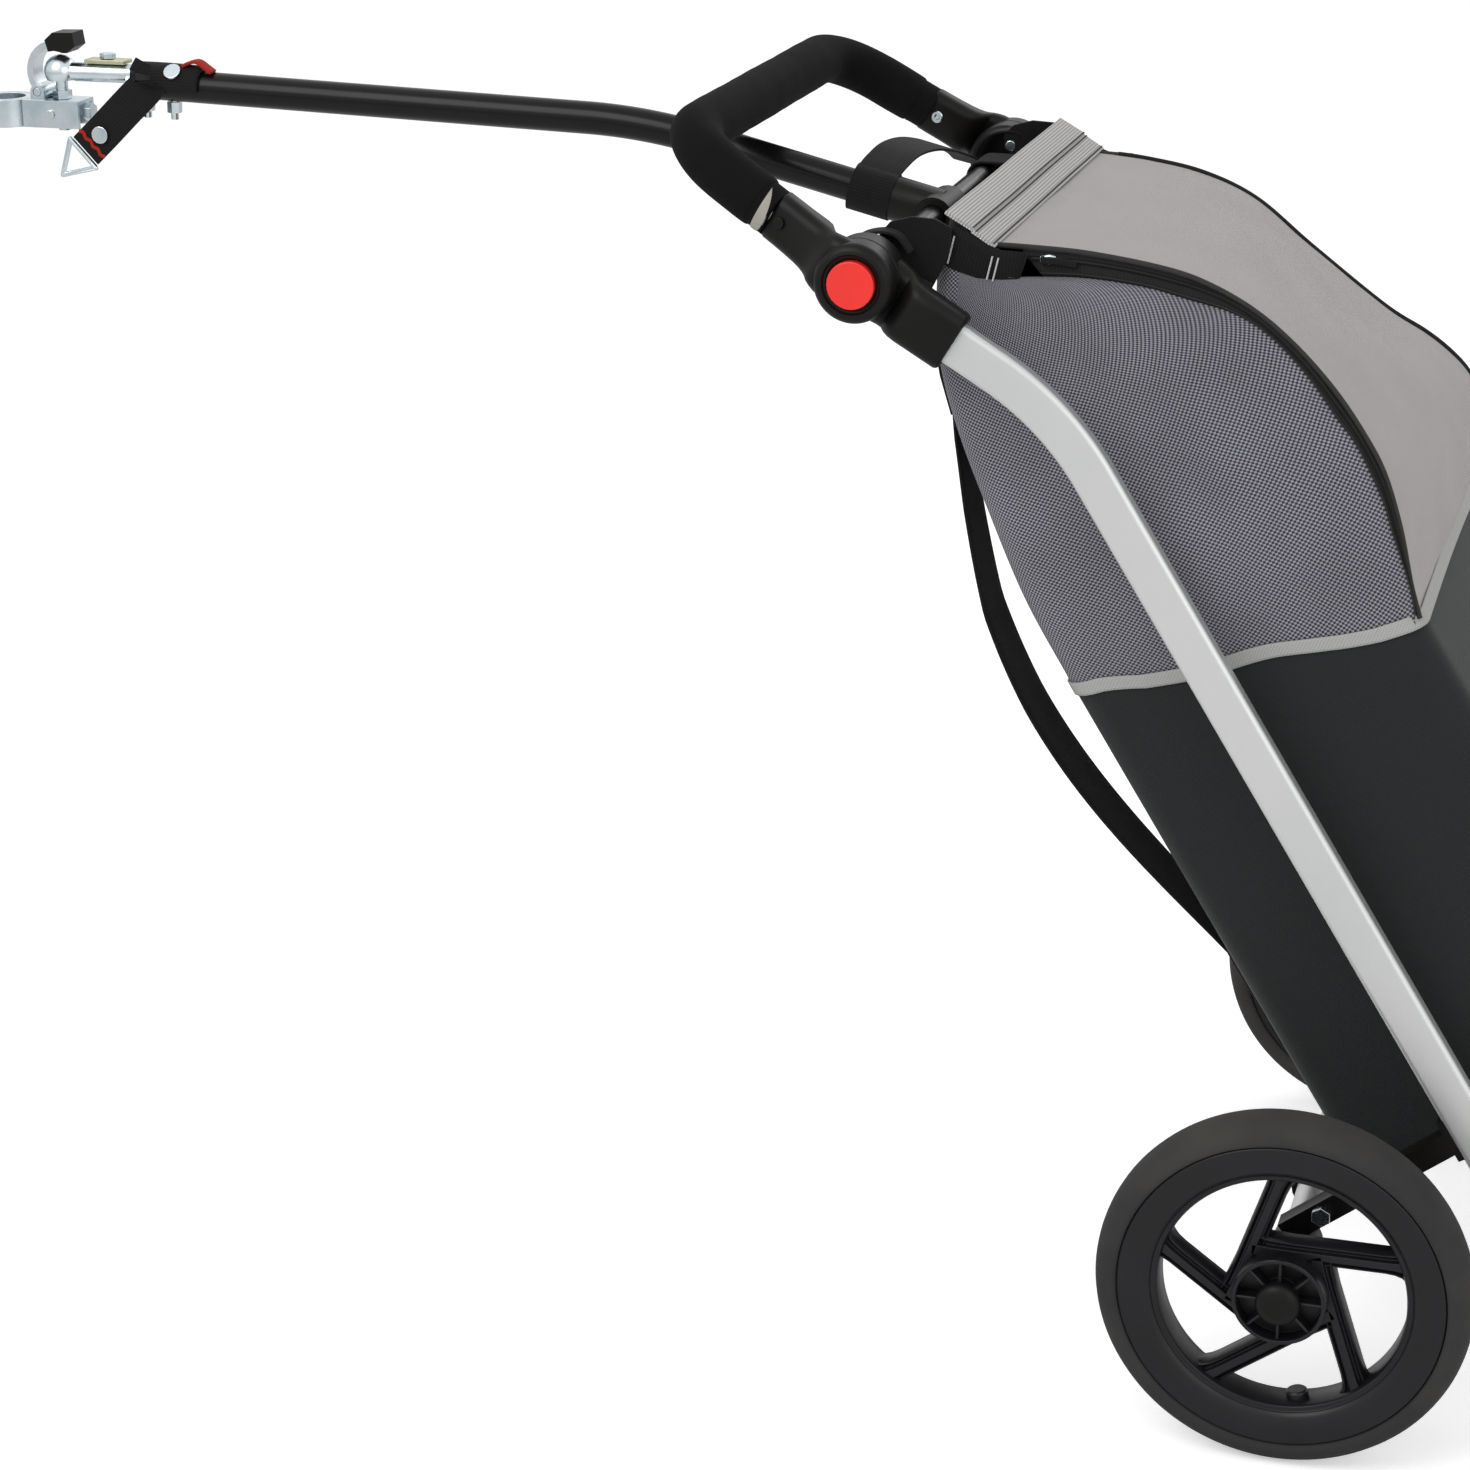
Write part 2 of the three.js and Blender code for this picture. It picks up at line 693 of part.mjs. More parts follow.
function buttonPiece(hand) {
  const outside = hand * (tubeHalf + discOutside + buttonProud);
  const inside = outside - hand * buttonHeight;
  return barAcross(hubCentre, Math.min(outside, inside), Math.max(outside, inside), buttonRadius, 28);
}

// The handle loop: an alloy tube between the arms, and the foam grip over it
function handlePath(inset) {
  return new BentPath([
    armPoint(inset, -1), armPoint(handleReach, -1), armPoint(handleReach, 1), armPoint(inset, 1),
  ], handleBendRadius, 6);
}

function handlePieces() {
  const tube = swept(handlePath(armSocket), circleOutline(handleTubeRadius, 14));
  const grip = swept(handlePath(armLength + gripBareLength), circleOutline(gripRadius, 18),
    circleOutline(handleTubeRadius + gap, 14));
  return [tube, grip];
}

function rivetPiece(hand) {
  const [, across] = armDirections(hand);
  const inward = across.multiplyScalar(-hand);
  const face = armPoint(rivetPlace, hand).addScaledVector(inward, armThick / 2 + gap);
  return bar(face, face.clone().addScaledVector(inward, rivetHeight), rivetRadius, 12);
}

function topTubePiece() {
  const half = tubeHalf - discInside - gap;
  const shell = barAcross(hubCentre, -half, half, topTubeRadius, 18);
  return cut(shell, barAcross(hubCentre, -half - cutOver, half + cutOver, topTubeRadius - topTubeWall, 14));
}

// The tee that joins the drawbar to the top tube, with a cap on its rear face
function teePieces() {
  const half = teeWide / 2;
  const ring = barAcross(hubCentre, -half, half, teeRingRadius, 22);
  const socket = bar(hubCentre, hubCentre.clone().addScaledVector(rearDir, teeSocketLength),
    teeSocketRadius, 22);
  const tubeHole = barAcross(
    hubCentre, -half - cutOver, half + cutOver, topTubeRadius + gap, 18);
  const drawHole = bar(
    drawbarStart.clone().addScaledVector(rearDir, teeRingRadius - topTubeRadius - gap),
    hubCentre.clone().addScaledVector(rearDir, teeSocketLength + cutOver), drawbarRadius + gap, 16);
  const rearFace = hubCentre.clone().addScaledVector(rearDir, -teeRingRadius - gap);
  const cap = bar(rearFace.clone().addScaledVector(rearDir, -teeCapHeight), rearFace,
    teeCapRadius, 18);
  return [cut(join(ring, socket), tubeHole, drawHole), cap];
}

function drawbarPiece() {
  const start = hubCentre.clone().addScaledVector(rearDir, teeRingRadius + gap);
  const path = new BentPath([start, drawbarCorner, drawbarEnd], drawbarBendRadius, 4);
  const tube = swept(path, circleOutline(drawbarRadius, 18), circleOutline(drawbarRadius - drawbarWall, 14));
  return cut(tube, ...[0, 1].map((i) => bar(
    drawbarBoltAt(i, -drawbarRadius - cutOver), drawbarBoltAt(i, drawbarRadius + cutOver),
    drawbarBoltRadius + gap, 10)));
}

// A place on one of the two bolts through the front of the drawbar
function drawbarBoltAt(index, height) {
  const back = drawbarBoltInset + drawbarBoltPitch * index;
  const square = new THREE.Vector3(-frontDir.z, 0, frontDir.x).multiplyScalar(-1);
  return drawbarEnd.clone().addScaledVector(frontDir, -back).addScaledVector(square, height);
}

function drawbarBoltPiece(index) {
  const low = drawbarBoltAt(index, -drawbarRadius - gap);
  const down = low.clone().sub(drawbarBoltAt(index, 0)).normalize();
  const nut = hexagon(low, down, drawbarNutHeight, drawbarNutRadius);
  const shank = bar(low.clone().addScaledVector(down, drawbarNutHeight + drawbarBoltTail),
    drawbarBoltAt(index, drawbarRadius - gap), drawbarBoltRadius, 10);
  return join(shank, nut);
}

// The ball socket with the stub that slides into the drawbar
function socketPiece() {
  const outer = new THREE.SphereGeometry(ballRadius + socketWall, 20, 12);
  const inner = new THREE.SphereGeometry(ballRadius + ballPlay, 24, 16);
  const dome = solid(outer).translate(ballCentre.toArray());
  const room = solid(inner).translate(ballCentre.toArray());
  const stub = bar(ballCentre, stubStart.clone().addScaledVector(ahead, stubShoulder / 2), stubRadius, 18);
  const insert = bar(drawbarEnd.clone().addScaledVector(frontDir, stubShoulder),
    drawbarEnd.clone().addScaledVector(frontDir, -stubInsert), drawbarRadius - drawbarWall - 2 * gap, 16);
  const wide = 2 * (ballRadius + socketWall);
  const skirtCut = block(
    ballCentre.clone().add(new THREE.Vector3(0, 0, -socketSkirt - wide / 2)),
    [rearward, side, above], [wide, wide, wide]);
  const bolts = [0, 1].map((i) => bar(
    drawbarBoltAt(i, -drawbarRadius), drawbarBoltAt(i, drawbarRadius), drawbarBoltRadius + gap, 10));
  return cut(join(dome, stub, insert), skirtCut, room, ...bolts);
}

// The ball with its neck and threaded shank
function studPiece() {
  const ball = solid(new THREE.SphereGeometry(ballRadius, 18, 12)).translate(ballCentre.toArray());
  const foot = ballCentre.clone().setZ(couplingTop - couplingHigh - shankTail);
  return join(ball, bar(foot, ballCentre, neckRadius, 14));
}

// The folded steel bracket between the seat post clamp and the ball
function couplingPieces() {
  const rear = couplingRear;
  const front = clampCentre.x + clampRadius - couplingWall;
  const centre = new THREE.Vector3((rear + front) / 2, 0, couplingMid);
  const body = block(centre, [rearward, side, above], [rear - front, couplingWide, couplingHigh]);
  const hollow = block(
    centre.clone().add(new THREE.Vector3(cutOver, 0, -couplingWall - cutOver)), [rearward, side, above],
    [rear - front - 2 * couplingWall, couplingWide - 2 * couplingWall, couplingHigh + 2 * cutOver]);
  const post = bar(clampCentre.clone().setZ(couplingMid - clampHigh),
    clampCentre.clone().setZ(couplingMid + clampHigh), clampRadius + gap, 24);
  const studHole = bar(ballCentre.clone().setZ(couplingTop - couplingHigh - cutOver),
    ballCentre.clone().setZ(couplingTop + cutOver), neckRadius + play, 14);
  const bridge = block(
    centre.clone().setX(ballCentre.x), [rearward, side, above],
    [2 * studNutRadius, couplingWide - couplingWall, couplingHigh]);
  const bracket = cut(join(cut(body, hollow), bridge), post, studHole);
  const nut = cut(
    hexagon(ballCentre.clone().setZ(couplingTop + gap), above, studNutHeight, studNutRadius),
    bar(ballCentre.clone().setZ(couplingTop), ballCentre, neckRadius + play, 14));
  const face = -couplingWide / 2 - gap;
  const rivet = barAcross(
    centre.clone(), face - couplingRivetHeight, face, couplingRivetRadius, 12);
  const bolt = hexagon(
    new THREE.Vector3(rear + gap, 0, couplingTop - couplingBoltDrop), rearward, couplingBoltHeight,
    couplingBoltRadius);
  return [bracket, nut, rivet, bolt];
}

// The split ring that grips the seat post, and the bolt that closes it
function clampPieces() {
  const low = clampCentre.clone().setZ(couplingMid - clampHigh / 2);
  const high = clampCentre.clone().setZ(couplingMid + clampHigh / 2);
  const long = clampEar + clampRadius;
  const earsHere = clampCentre.clone().addScaledVector(ahead, long / 2);
  const ears = block(earsHere, [ahead, side, above], [long, 2 * clampEarThick + clampSplit, clampHigh]);
  const split = block(
    earsHere.clone().addScaledVector(ahead, cutOver), [ahead, side, above],
    [long + cutOver, clampSplit, clampHigh + cutOver]);
  const bore = bar(low.clone().setZ(low.z - cutOver), high.clone().setZ(high.z + cutOver), postRadius, 28);
  const boltHere = clampCentre.clone().addScaledVector(ahead, clampRadius + clampEar / 2);
  const earFace = clampEarThick + clampSplit / 2;
  const hole = barAcross(boltHere, -earFace - cutOver, earFace + cutOver, clampBoltRadius + gap, 12);
  const ring = cut(join(bar(low, high, clampRadius, 28), ears), bore, split, hole);
  const head = -earFace - gap;
  const bolt = join(
    barAcross(boltHere, head - clampBoltHeadHeight / 2, earFace, clampBoltRadius, 12),
    barAcross(boltHere, head - clampBoltHeadHeight, head, clampBoltHead, 14));
  return [ring, bolt];
}

// The plate on top of the stub and its screw
function lockPlatePieces() {
  const middle = stubStart.clone()
    .addScaledVector(ahead, stubShoulder + lockPlateInset + lockPlateLong / 2)
    .addScaledVector(above, stubRadius + gap + lockPlateThick / 2);
  const plate = block(middle, [ahead, side, above], [lockPlateLong, lockPlateWide, lockPlateThick]);
  const foot = middle.clone().addScaledVector(above, lockPlateThick / 2 + gap);
  const screw = hexagon(foot, above, lockScrewHeight, lockScrewRadius);
  return [plate, screw];
}

// The point that the latch hook swings about
function latchPivot() {
  return new THREE.Vector3(ballCentre.x - hookPivotBack, 0, couplingTop + hookEyeRadius + gap);
}

// The hook that swings over the ball socket, its moulded grip, its pin and the pin's ears
function latchPieces() {
  const centre = ballCentre;
  const pivot = latchPivot();
  const toPivot = pivot.clone().sub(centre);
  const from = Math.atan2(toPivot.z, toPivot.x) + 2 * Math.PI;
  const steps = 12;
  const arc = (radius, beyond = 0) => Array.from({ length: steps + 1 }, (_, i) => {
    const angle = from + (hookEnd - beyond - from) * i / steps;
    return centre.clone().add(new THREE.Vector3(radius * Math.cos(angle), 0, radius * Math.sin(angle)));
  });
  const outer = hookInner + hookThick;
  const half = hookWide / 2;
  const strip = slab(outlineOf([...arc(outer), ...arc(hookInner).reverse()]), -half, half);
  const eye = barAcross(pivot, -half, half, hookEyeRadius, 16);
  const earFace = half + gap + couplingWall;
  const eyeHole = barAcross(pivot, -earFace - cutOver, earFace + cutOver, hookPivotRadius + play, 12);
  const hook = cut(join(strip, eye), eyeHole);
  const gripFront = centre.x + latchGripRear - latchGripLong;
  const gripLow = centre.z + outer + latchGripOver - latchGripHigh;
  const gripLine = latchGripShares.map(([longShare, highShare]) => new THREE.Vector3(
    gripFront + latchGripLong * longShare, 0, gripLow + latchGripHigh * highShare));
  const hookRoom = slab(
    outlineOf([...arc(outer + gap, gap / outer), ...arc(hookInner - gap, gap / outer).reverse()]),
    -half - gap, half + gap);
  const grip = cut(
    slab(outlineOf(gripLine), -latchGripWide / 2, latchGripWide / 2), hookRoom,
    solid(new THREE.SphereGeometry(hookInner - gap, 20, 12)).translate(centre.toArray()));
  const pin = barAcross(pivot, -earFace, earFace, hookPivotRadius, 12);
  const ears = hands.map(([, hand]) => {
    const inside = hand * (half + gap);
    const outside = hand * earFace;
    const low = Math.min(inside, outside);
    const high = Math.max(inside, outside);
    const stalk = pivot.z - couplingTop + couplingWall;
    const stand = block(
      new THREE.Vector3(pivot.x, (low + high) / 2, pivot.z - stalk / 2), [ahead, side, above],
      [2 * hookEyeRadius, couplingWall, stalk]);
    return cut(join(barAcross(pivot, low, high, hookEyeRadius, 16), stand), eyeHole);
  });
  return [hook, grip, pin, ears];
}

// The webbing strap that backs up the coupling: a saddle over the drawbar's front end
// and a tail that runs down its left side to a triangular ring
function safetyPieces() {
  const square = new THREE.Vector3(-frontDir.z, 0, frontDir.x).multiplyScalar(-1);
  const from = drawbarEnd.clone().addScaledVector(frontDir, -saddleLong);
  const inner = drawbarRadius + gap;
  const outer = inner + 2 * webThick;
  const axisAt = (run) => from.clone().addScaledVector(frontDir, run);
  const below = block(
    axisAt(saddleLong / 2).addScaledVector(square, -outer / 2), [frontDir, side, square],
    [saddleLong + 2 * cutOver, 2 * outer + cutOver, outer]);
  const saddle = cut(bar(from, drawbarEnd, outer, 20), below);
  const hole = bar(axisAt(-cutOver), axisAt(saddleLong + cutOver), inner, 20);
  const downRun = new THREE.Vector3(-Math.cos(safetySlope), 0, -Math.sin(safetySlope));
  const downSide = new THREE.Vector3(-downRun.z, 0, downRun.x);
  const start = axisAt(saddleLong - safetyWide / 2);
  const face = -outer;
  const tailMid = start.clone().addScaledVector(downRun, safetyRun / 2).setY(face + webThick / 2);
  const tail = block(tailMid, [downRun, side, downSide], [safetyRun, webThick, safetyWide]);
  const strap = cut(join(saddle, tail), hole);
  const lowerSnapAt = start.clone().addScaledVector(downRun, safetyRun - snapInset);
  const lowerSnap = barAcross(lowerSnapAt, face - gap - snapHeight, face - gap, snapRadius, 14);
  const outward = square.clone().sub(side).normalize();
  const upperSnapAt = axisAt(snapInset).addScaledVector(outward, outer + gap);
  const upperSnap = bar(
    upperSnapAt, upperSnapAt.clone().addScaledVector(outward, snapHeight), snapRadius, 14);
  const tip = start.clone().addScaledVector(downRun, safetyRun + gap + ringWire).setY(tailMid.y);
  const corners = [
    tip.clone().addScaledVector(downSide, ringSide / 2),
    tip.clone().addScaledVector(downSide, -ringSide / 2),
    tip.clone().addScaledVector(downRun, ringSide * Math.cos(30 * deg))];
  const legs = corners.map((corner, i) => bar(corner, corners[(i + 1) % corners.length], ringWire, 8));
  const balls = corners.map((corner) => solid(new THREE.SphereGeometry(ringWire, 8, 6))
    .translate(corner.toArray()));
  return [strap, upperSnap, lowerSnap, join(...legs, ...balls)];
}

// The tie strap: a band round the drawbar and a flat tail towards the right-hand hub
function tieStrapPiece() {
  const middle = hubCentre.clone().addScaledVector(rearDir, tieFromHub + tieWide / 2);
  const half = tieWide / 2;
  const from = middle.clone().addScaledVector(rearDir, -half);
  const to = middle.clone().addScaledVector(rearDir, half);
  const outerRadius = drawbarRadius + gap + webThick;
  const band = bar(from, to, outerRadius, 18);
  const hole = bar(from.clone().addScaledVector(rearDir, -cutOver),
    to.clone().addScaledVector(rearDir, cutOver), drawbarRadius + gap, 18);
  const square = new THREE.Vector3(-rearDir.z, 0, rearDir.x).multiplyScalar(-1);
  const reach = tubeHalf - armThick / 2 - 2 * gap;
  const tailMid = middle.clone().addScaledVector(square, -drawbarRadius - gap - webThick / 2)
    .setY(reach / 2);
  const tail = block(tailMid, [rearDir, side, square], [tieWide, reach, webThick]);
  return cut(join(band, tail), hole);
}

// The side view of the bag: up the back, over the top tab and down the curved front
function lidCurve(inset) {
  const start = onFrame(lidStart, lidStartFore);
  const end = onFrame(lidEnd, lidEndFore);
  const run = end.clone().sub(start);
  const length = run.length();
  run.normalize();
  const out = new THREE.Vector3(-run.z, 0, run.x);
  if (out.dot(fore) < 0) out.multiplyScalar(-1);
  const crown = lidCrownShares.map(([alongShare, outShare]) => start.clone()
    .addScaledVector(run, length * alongShare).addScaledVector(out, lidCrown * outShare));
  return [start, ...crown, end].map((p) => p.addScaledVector(out, -inset));
}

function bagOutline(inset, frontInset) {
  const floor = gap + inset;
  const corner = bagCorner - inset;
  const places = [];
  const turnSteps = 3;
  for (let i = 0; i <= turnSteps; i += 1) {
    const angle = 90 * deg * i / turnSteps;
    places.push(onFrame(floor + corner * (1 - Math.sin(angle)),
      inset - bagBack + corner * (1 - Math.cos(angle))));
  }
  for (let i = 0; i <= turnSteps; i += 1) {
    const angle = 90 * deg * i / turnSteps;
    places.push(onFrame(floor + corner * (1 - Math.cos(angle)),
      bagFoot - inset - corner * (1 - Math.sin(angle))));
  }
  places.push(...lidCurve(frontInset).reverse());
  for (const [riseShare, backShare] of [...bagBackShares].reverse()) {
    places.push(onFrame(bagHeight * riseShare - inset, inset - bagBack * backShare));
  }
  return outlineOf(places);
}

// How far the back of the bag lies behind the side tubes at a height along them
function bagBackAt(rise) {
  const steps = bagBackShares.map(([riseShare, backShare]) => [bagHeight * riseShare, bagBack * backShare]);
  const next = steps.findIndex(([high]) => high > rise);
  if (next <= 0) return next < 0 ? steps[steps.length - 1][1] : bagBack;
  const [[low, lowBack], [high, highBack]] = [steps[next - 1], steps[next]];
  return lowBack + (highBack - lowBack) * (rise - low) / (high - low);
}

// The bag: a sewn shell that is open where the lid closes it
function bagPiece() {
  const lidRoom = bagWall + gap;
  const outer = slab(bagOutline(0, lidRoom), -bagHalf, bagHalf);
  const inner = slab(bagOutline(bagWall, lidRoom + bagWall), bagWall - bagHalf, bagHalf - bagWall);
  const mouth = lidCurve(lidRoom + bagWall).map((p) => p.clone());
  const lidFar = lidCurve(-cutOver * 2).reverse();
  const opening = slab(
    outlineOf([...mouth.slice(0), ...lidFar]), bagWall - bagHalf, bagHalf - bagWall);
  return cut(outer, inner, opening);
}

// The lid: one curved panel from the top tab down to the front band
function lidPiece() {
  const outerLine = lidCurve(0);
  const innerLine = lidCurve(bagWall).reverse();
  return slab(outlineOf([...outerLine, ...innerLine]), -bagHalf, bagHalf);
}

// The rear corner at the top of the bag
function bagTopCorner() {
  return onFrame(bagHeight, -bagBackAt(bagHeight));
}

// The stiff tab across the top edge of the bag
function tabPiece() {
  const from = onFrame(lidStart + gap * 2, lidStartFore);
  const run = bagTopCorner().sub(from).normalize();
  const out = new THREE.Vector3(-run.z, 0, run.x);
  if (out.dot(up) < 0) out.multiplyScalar(-1);
  const middle = from.clone().addScaledVector(run, gap + tabLong / 2)
    .addScaledVector(out, gap + tabThick / 2);
  return block(middle, [run, side, out], [tabLong, bagWidth, tabThick]);
}

// A webbing loop that hangs the back of the bag on the top tube
function hangLoopPiece(hand) {
  const outerRadius = topTubeRadius + gap + webThick;
  const middle = hand * (bagHalf - loopInset - loopWide / 2);
  const y0 = middle - loopWide / 2;
  const y1 = middle + loopWide / 2;
  const ring = barAcross(hubCentre, y0, y1, outerRadius, 18);
  const hole = barAcross(hubCentre, y0 - cutOver, y1 + cutOver, topTubeRadius + gap, 18);
  const high = bagHeight - loopHang;
  const target = onFrame(high, bagWall - bagBackAt(high), middle);
  const from = hubCentre.clone().setY(middle);
  const run = target.clone().sub(from);
  const length = run.length();
  run.normalize();
  const across = new THREE.Vector3().crossVectors(run, side);
  const tails = [1, -1].map((sign) => block(
    from.clone().add(target).multiplyScalar(0.5)
      .addScaledVector(across, sign * (outerRadius - webThick / 2)),
    [run, side, across], [length, loopWide, webThick]));
  const bagRoom = slab(bagOutline(-gap, 0), y0 - cutOver, y1 + cutOver);
  return cut(join(ring, ...tails), hole, bagRoom);
}

// A carrying strap down the back of the bag, slack between its two sewn ends
function carryStrapPiece(hand) {
  const middle = hand * (bagHalf - strapInset - strapWide / 2);
  const steps = 10;
  const near = [];
  const far = [];
  for (let i = 0; i <= steps; i += 1) {
    const share = i / steps;
    const rise = strapLow + (strapHigh - strapLow) * share;
    const wall = bagBackAt(rise);
    const slack = gap + strapBow * Math.sin(Math.PI * share);
    near.push(onFrame(rise, -wall - slack));
    far.push(onFrame(rise, -wall - slack - webThick));
  }
  return slab(outlineOf([...near, ...far.reverse()]), middle - strapWide / 2, middle + strapWide / 2);
}

// Bike side of the coupling
const [clampRing, clampBolt] = clampPieces();
const [bracket, studNut, bracketRivet, bracketBolt] = couplingPieces();
const [hook, latchGrip, latchPin, latchEars] = latchPieces();
add('clamp_ring', clampRing, 'steel');
add('clamp_bolt', clampBolt, 'steel');
add('coupling_bracket', join(bracket, ...latchEars), 'steel');
add('ball_nut', studNut, 'steel');
add('bracket_rivet', bracketRivet, 'steel');
add('bracket_bolt', bracketBolt, 'steel');
add('latch_hook', hook, 'steel');
add('latch_grip', latchGrip, 'plastic');
add('latch_pin', latchPin, 'steel');
add('ball_stud', studPiece(), 'steel');

// Drawbar
const [tee, teeCap] = teePieces();
const [lockPlate, lockScrew] = lockPlatePieces();
const [safetyStrap, snapUpper, snapLower, safetyRing] = safetyPieces();
add('ball_socket', socketPiece(), 'steel');
add('lock_plate', lockPlate, 'steel');
add('lock_screw', lockScrew, 'steel');
add('drawbar_tube', drawbarPiece(), 'blackTube');
add('drawbar_bolt_front', drawbarBoltPiece(0), 'steel');
add('drawbar_bolt_rear', drawbarBoltPiece(1), 'steel');
add('drawbar_tee', tee, 'plastic');
add('tee_cap', teeCap, 'greyPlastic');
add('safety_strap', safetyStrap, 'webbing');
add('strap_snap_upper', snapUpper, 'steel');
add('strap_snap_lower', snapLower, 'steel');
add('safety_ring', safetyRing, 'steel');
add('tie_strap', tieStrapPiece(), 'webbing');

// Frame
add('top_tube', topTubePiece(), 'blackTube');
add('axle', axlePiece(), 'alloy');
add('deck_bar', deckPiece(), 'blackTube');
for (const [word, hand] of hands) {
  const [axleBracket, axleBracketBolt] = bracketPieces(hand);
  add(`side_tube_${word}`, sideTubePiece(hand), 'alloy');
  add(`foot_${word}`, footPiece(hand), 'plastic');
  add(`axle_bracket_${word}`, axleBracket, 'plastic');
  add(`axle_bracket_bolt_${word}`, axleBracketBolt, 'steel');
  add(`sleeve_${word}`, sleevePiece(hand), 'plastic');
  add(`lock_pin_${word}`, lockPinPiece(hand), 'steel');
}

// Handle
const [handleTube, grip] = handlePieces();
add('handle_tube', handleTube, 'alloy');
add('handle_grip', grip, 'foam');
for (const [word, hand] of hands) {
  add(`handle_arm_${word}`, armPiece(hand), 'plastic');
  add(`arm_rivet_${word}`, rivetPiece(hand), 'steel');
  add(`push_button_${word}`, buttonPiece(hand), 'red');
}

// Wheels
for (const [word, hand] of hands) {
  const [tyre, rim, cap] = wheelPieces(hand);
  add(`tyre_${word}`, tyre, 'rubber');
  add(`wheel_rim_${word}`, rim, 'plastic');
  add(`wheel_cap_${word}`, cap, 'plastic');
}

// Bag
add('bag_shell', bagPiece(), 'blackCloth');
add('bag_lid', lidPiece(), 'greyCloth');
add('bag_tab', tabPiece(), 'greyCloth');
for (const [word, hand] of hands) {
  add(`hang_loop_${word}`, hangLoopPiece(hand), 'webbing');
  add(`carry_strap_${word}`, carryStrapPiece(hand), 'webbing');
}

export default trailer;
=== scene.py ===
"""Looks of a bike shopping trailer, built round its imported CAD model.

Every new piece is a surface worked out with numpy in the side frame of the trailer: a rise
along the side tubes, a distance ahead of them, and y across the trailer, all in millimetres
and measured from the ground under the axle. The places are turned into metres in the row
frame when the mesh is filled.
"""

import logging
import math
from dataclasses import dataclass
from enum import Enum
from typing import Optional, Sequence

import bmesh
import bpy
import numpy as np
from mathutils import Matrix, Vector


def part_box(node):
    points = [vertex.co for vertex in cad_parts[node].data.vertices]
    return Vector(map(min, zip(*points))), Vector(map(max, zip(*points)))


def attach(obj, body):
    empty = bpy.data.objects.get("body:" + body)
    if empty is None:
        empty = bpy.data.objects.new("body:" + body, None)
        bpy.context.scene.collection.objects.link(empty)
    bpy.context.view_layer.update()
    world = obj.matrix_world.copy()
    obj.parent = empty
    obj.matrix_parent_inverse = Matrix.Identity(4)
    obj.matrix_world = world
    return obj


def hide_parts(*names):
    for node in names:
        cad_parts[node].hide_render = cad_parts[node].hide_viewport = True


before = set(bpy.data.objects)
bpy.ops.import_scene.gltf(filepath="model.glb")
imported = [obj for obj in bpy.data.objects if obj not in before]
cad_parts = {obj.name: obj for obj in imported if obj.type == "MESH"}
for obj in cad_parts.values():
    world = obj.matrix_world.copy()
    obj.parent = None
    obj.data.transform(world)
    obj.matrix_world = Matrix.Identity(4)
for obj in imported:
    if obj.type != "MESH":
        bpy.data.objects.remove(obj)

log = logging.getLogger("trailer_looks")

MM = 0.001
WELD = 0.00001
TINY = 1e-6
FACET_ANGLE = 2.0
COPY_SHARP = 32.0
NEW_SHARP = 38.0
SENSOR = 36.0
FAR_CLIP = 200.0
WHITE = (1.0, 1.0, 1.0, 1.0)
CLOTH_MAP = "cloth"
ACROSS = np.array([0.0, 1.0, 0.0])
Pairs = Sequence[tuple[float, float]]
Rows = Sequence[tuple[float, float, float, float]]


class Hand(Enum):
    """The side of the trailer: the left one faces the camera."""

    LEFT = -1
    RIGHT = 1

    @property
    def word(self) -> str:
        """The side's name, as the CAD nodes end with it."""
        return self.name.lower()


class Body(str, Enum):
    """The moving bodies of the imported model."""

    CLAMP = "bike_clamp"
    LATCH = "latch"
    SWIVEL = "swivel"
    TRAILER = "trailer"
    LID = "lid"
    HANDLE = "handle"
    BUTTON_LEFT = "button_left"
    BUTTON_RIGHT = "button_right"
    WHEEL_LEFT = "wheel_left"
    WHEEL_RIGHT = "wheel_right"


def paint(red: float, green: float, blue: float) -> tuple[float, float, float, float]:
    """A colour given in screen values from 0 to 255, as linear values with an alpha of 1.

    Args:
        red: red on the screen.
        green: green on the screen.
        blue: blue on the screen.

    Returns:
        The linear colour.
    """
    values = np.array([red, green, blue]) / 255.0
    linear = np.where(values <= 0.04045, values / 12.92, ((values + 0.055) / 1.055) ** 2.4)
    return (*(float(value) for value in linear), 1.0)


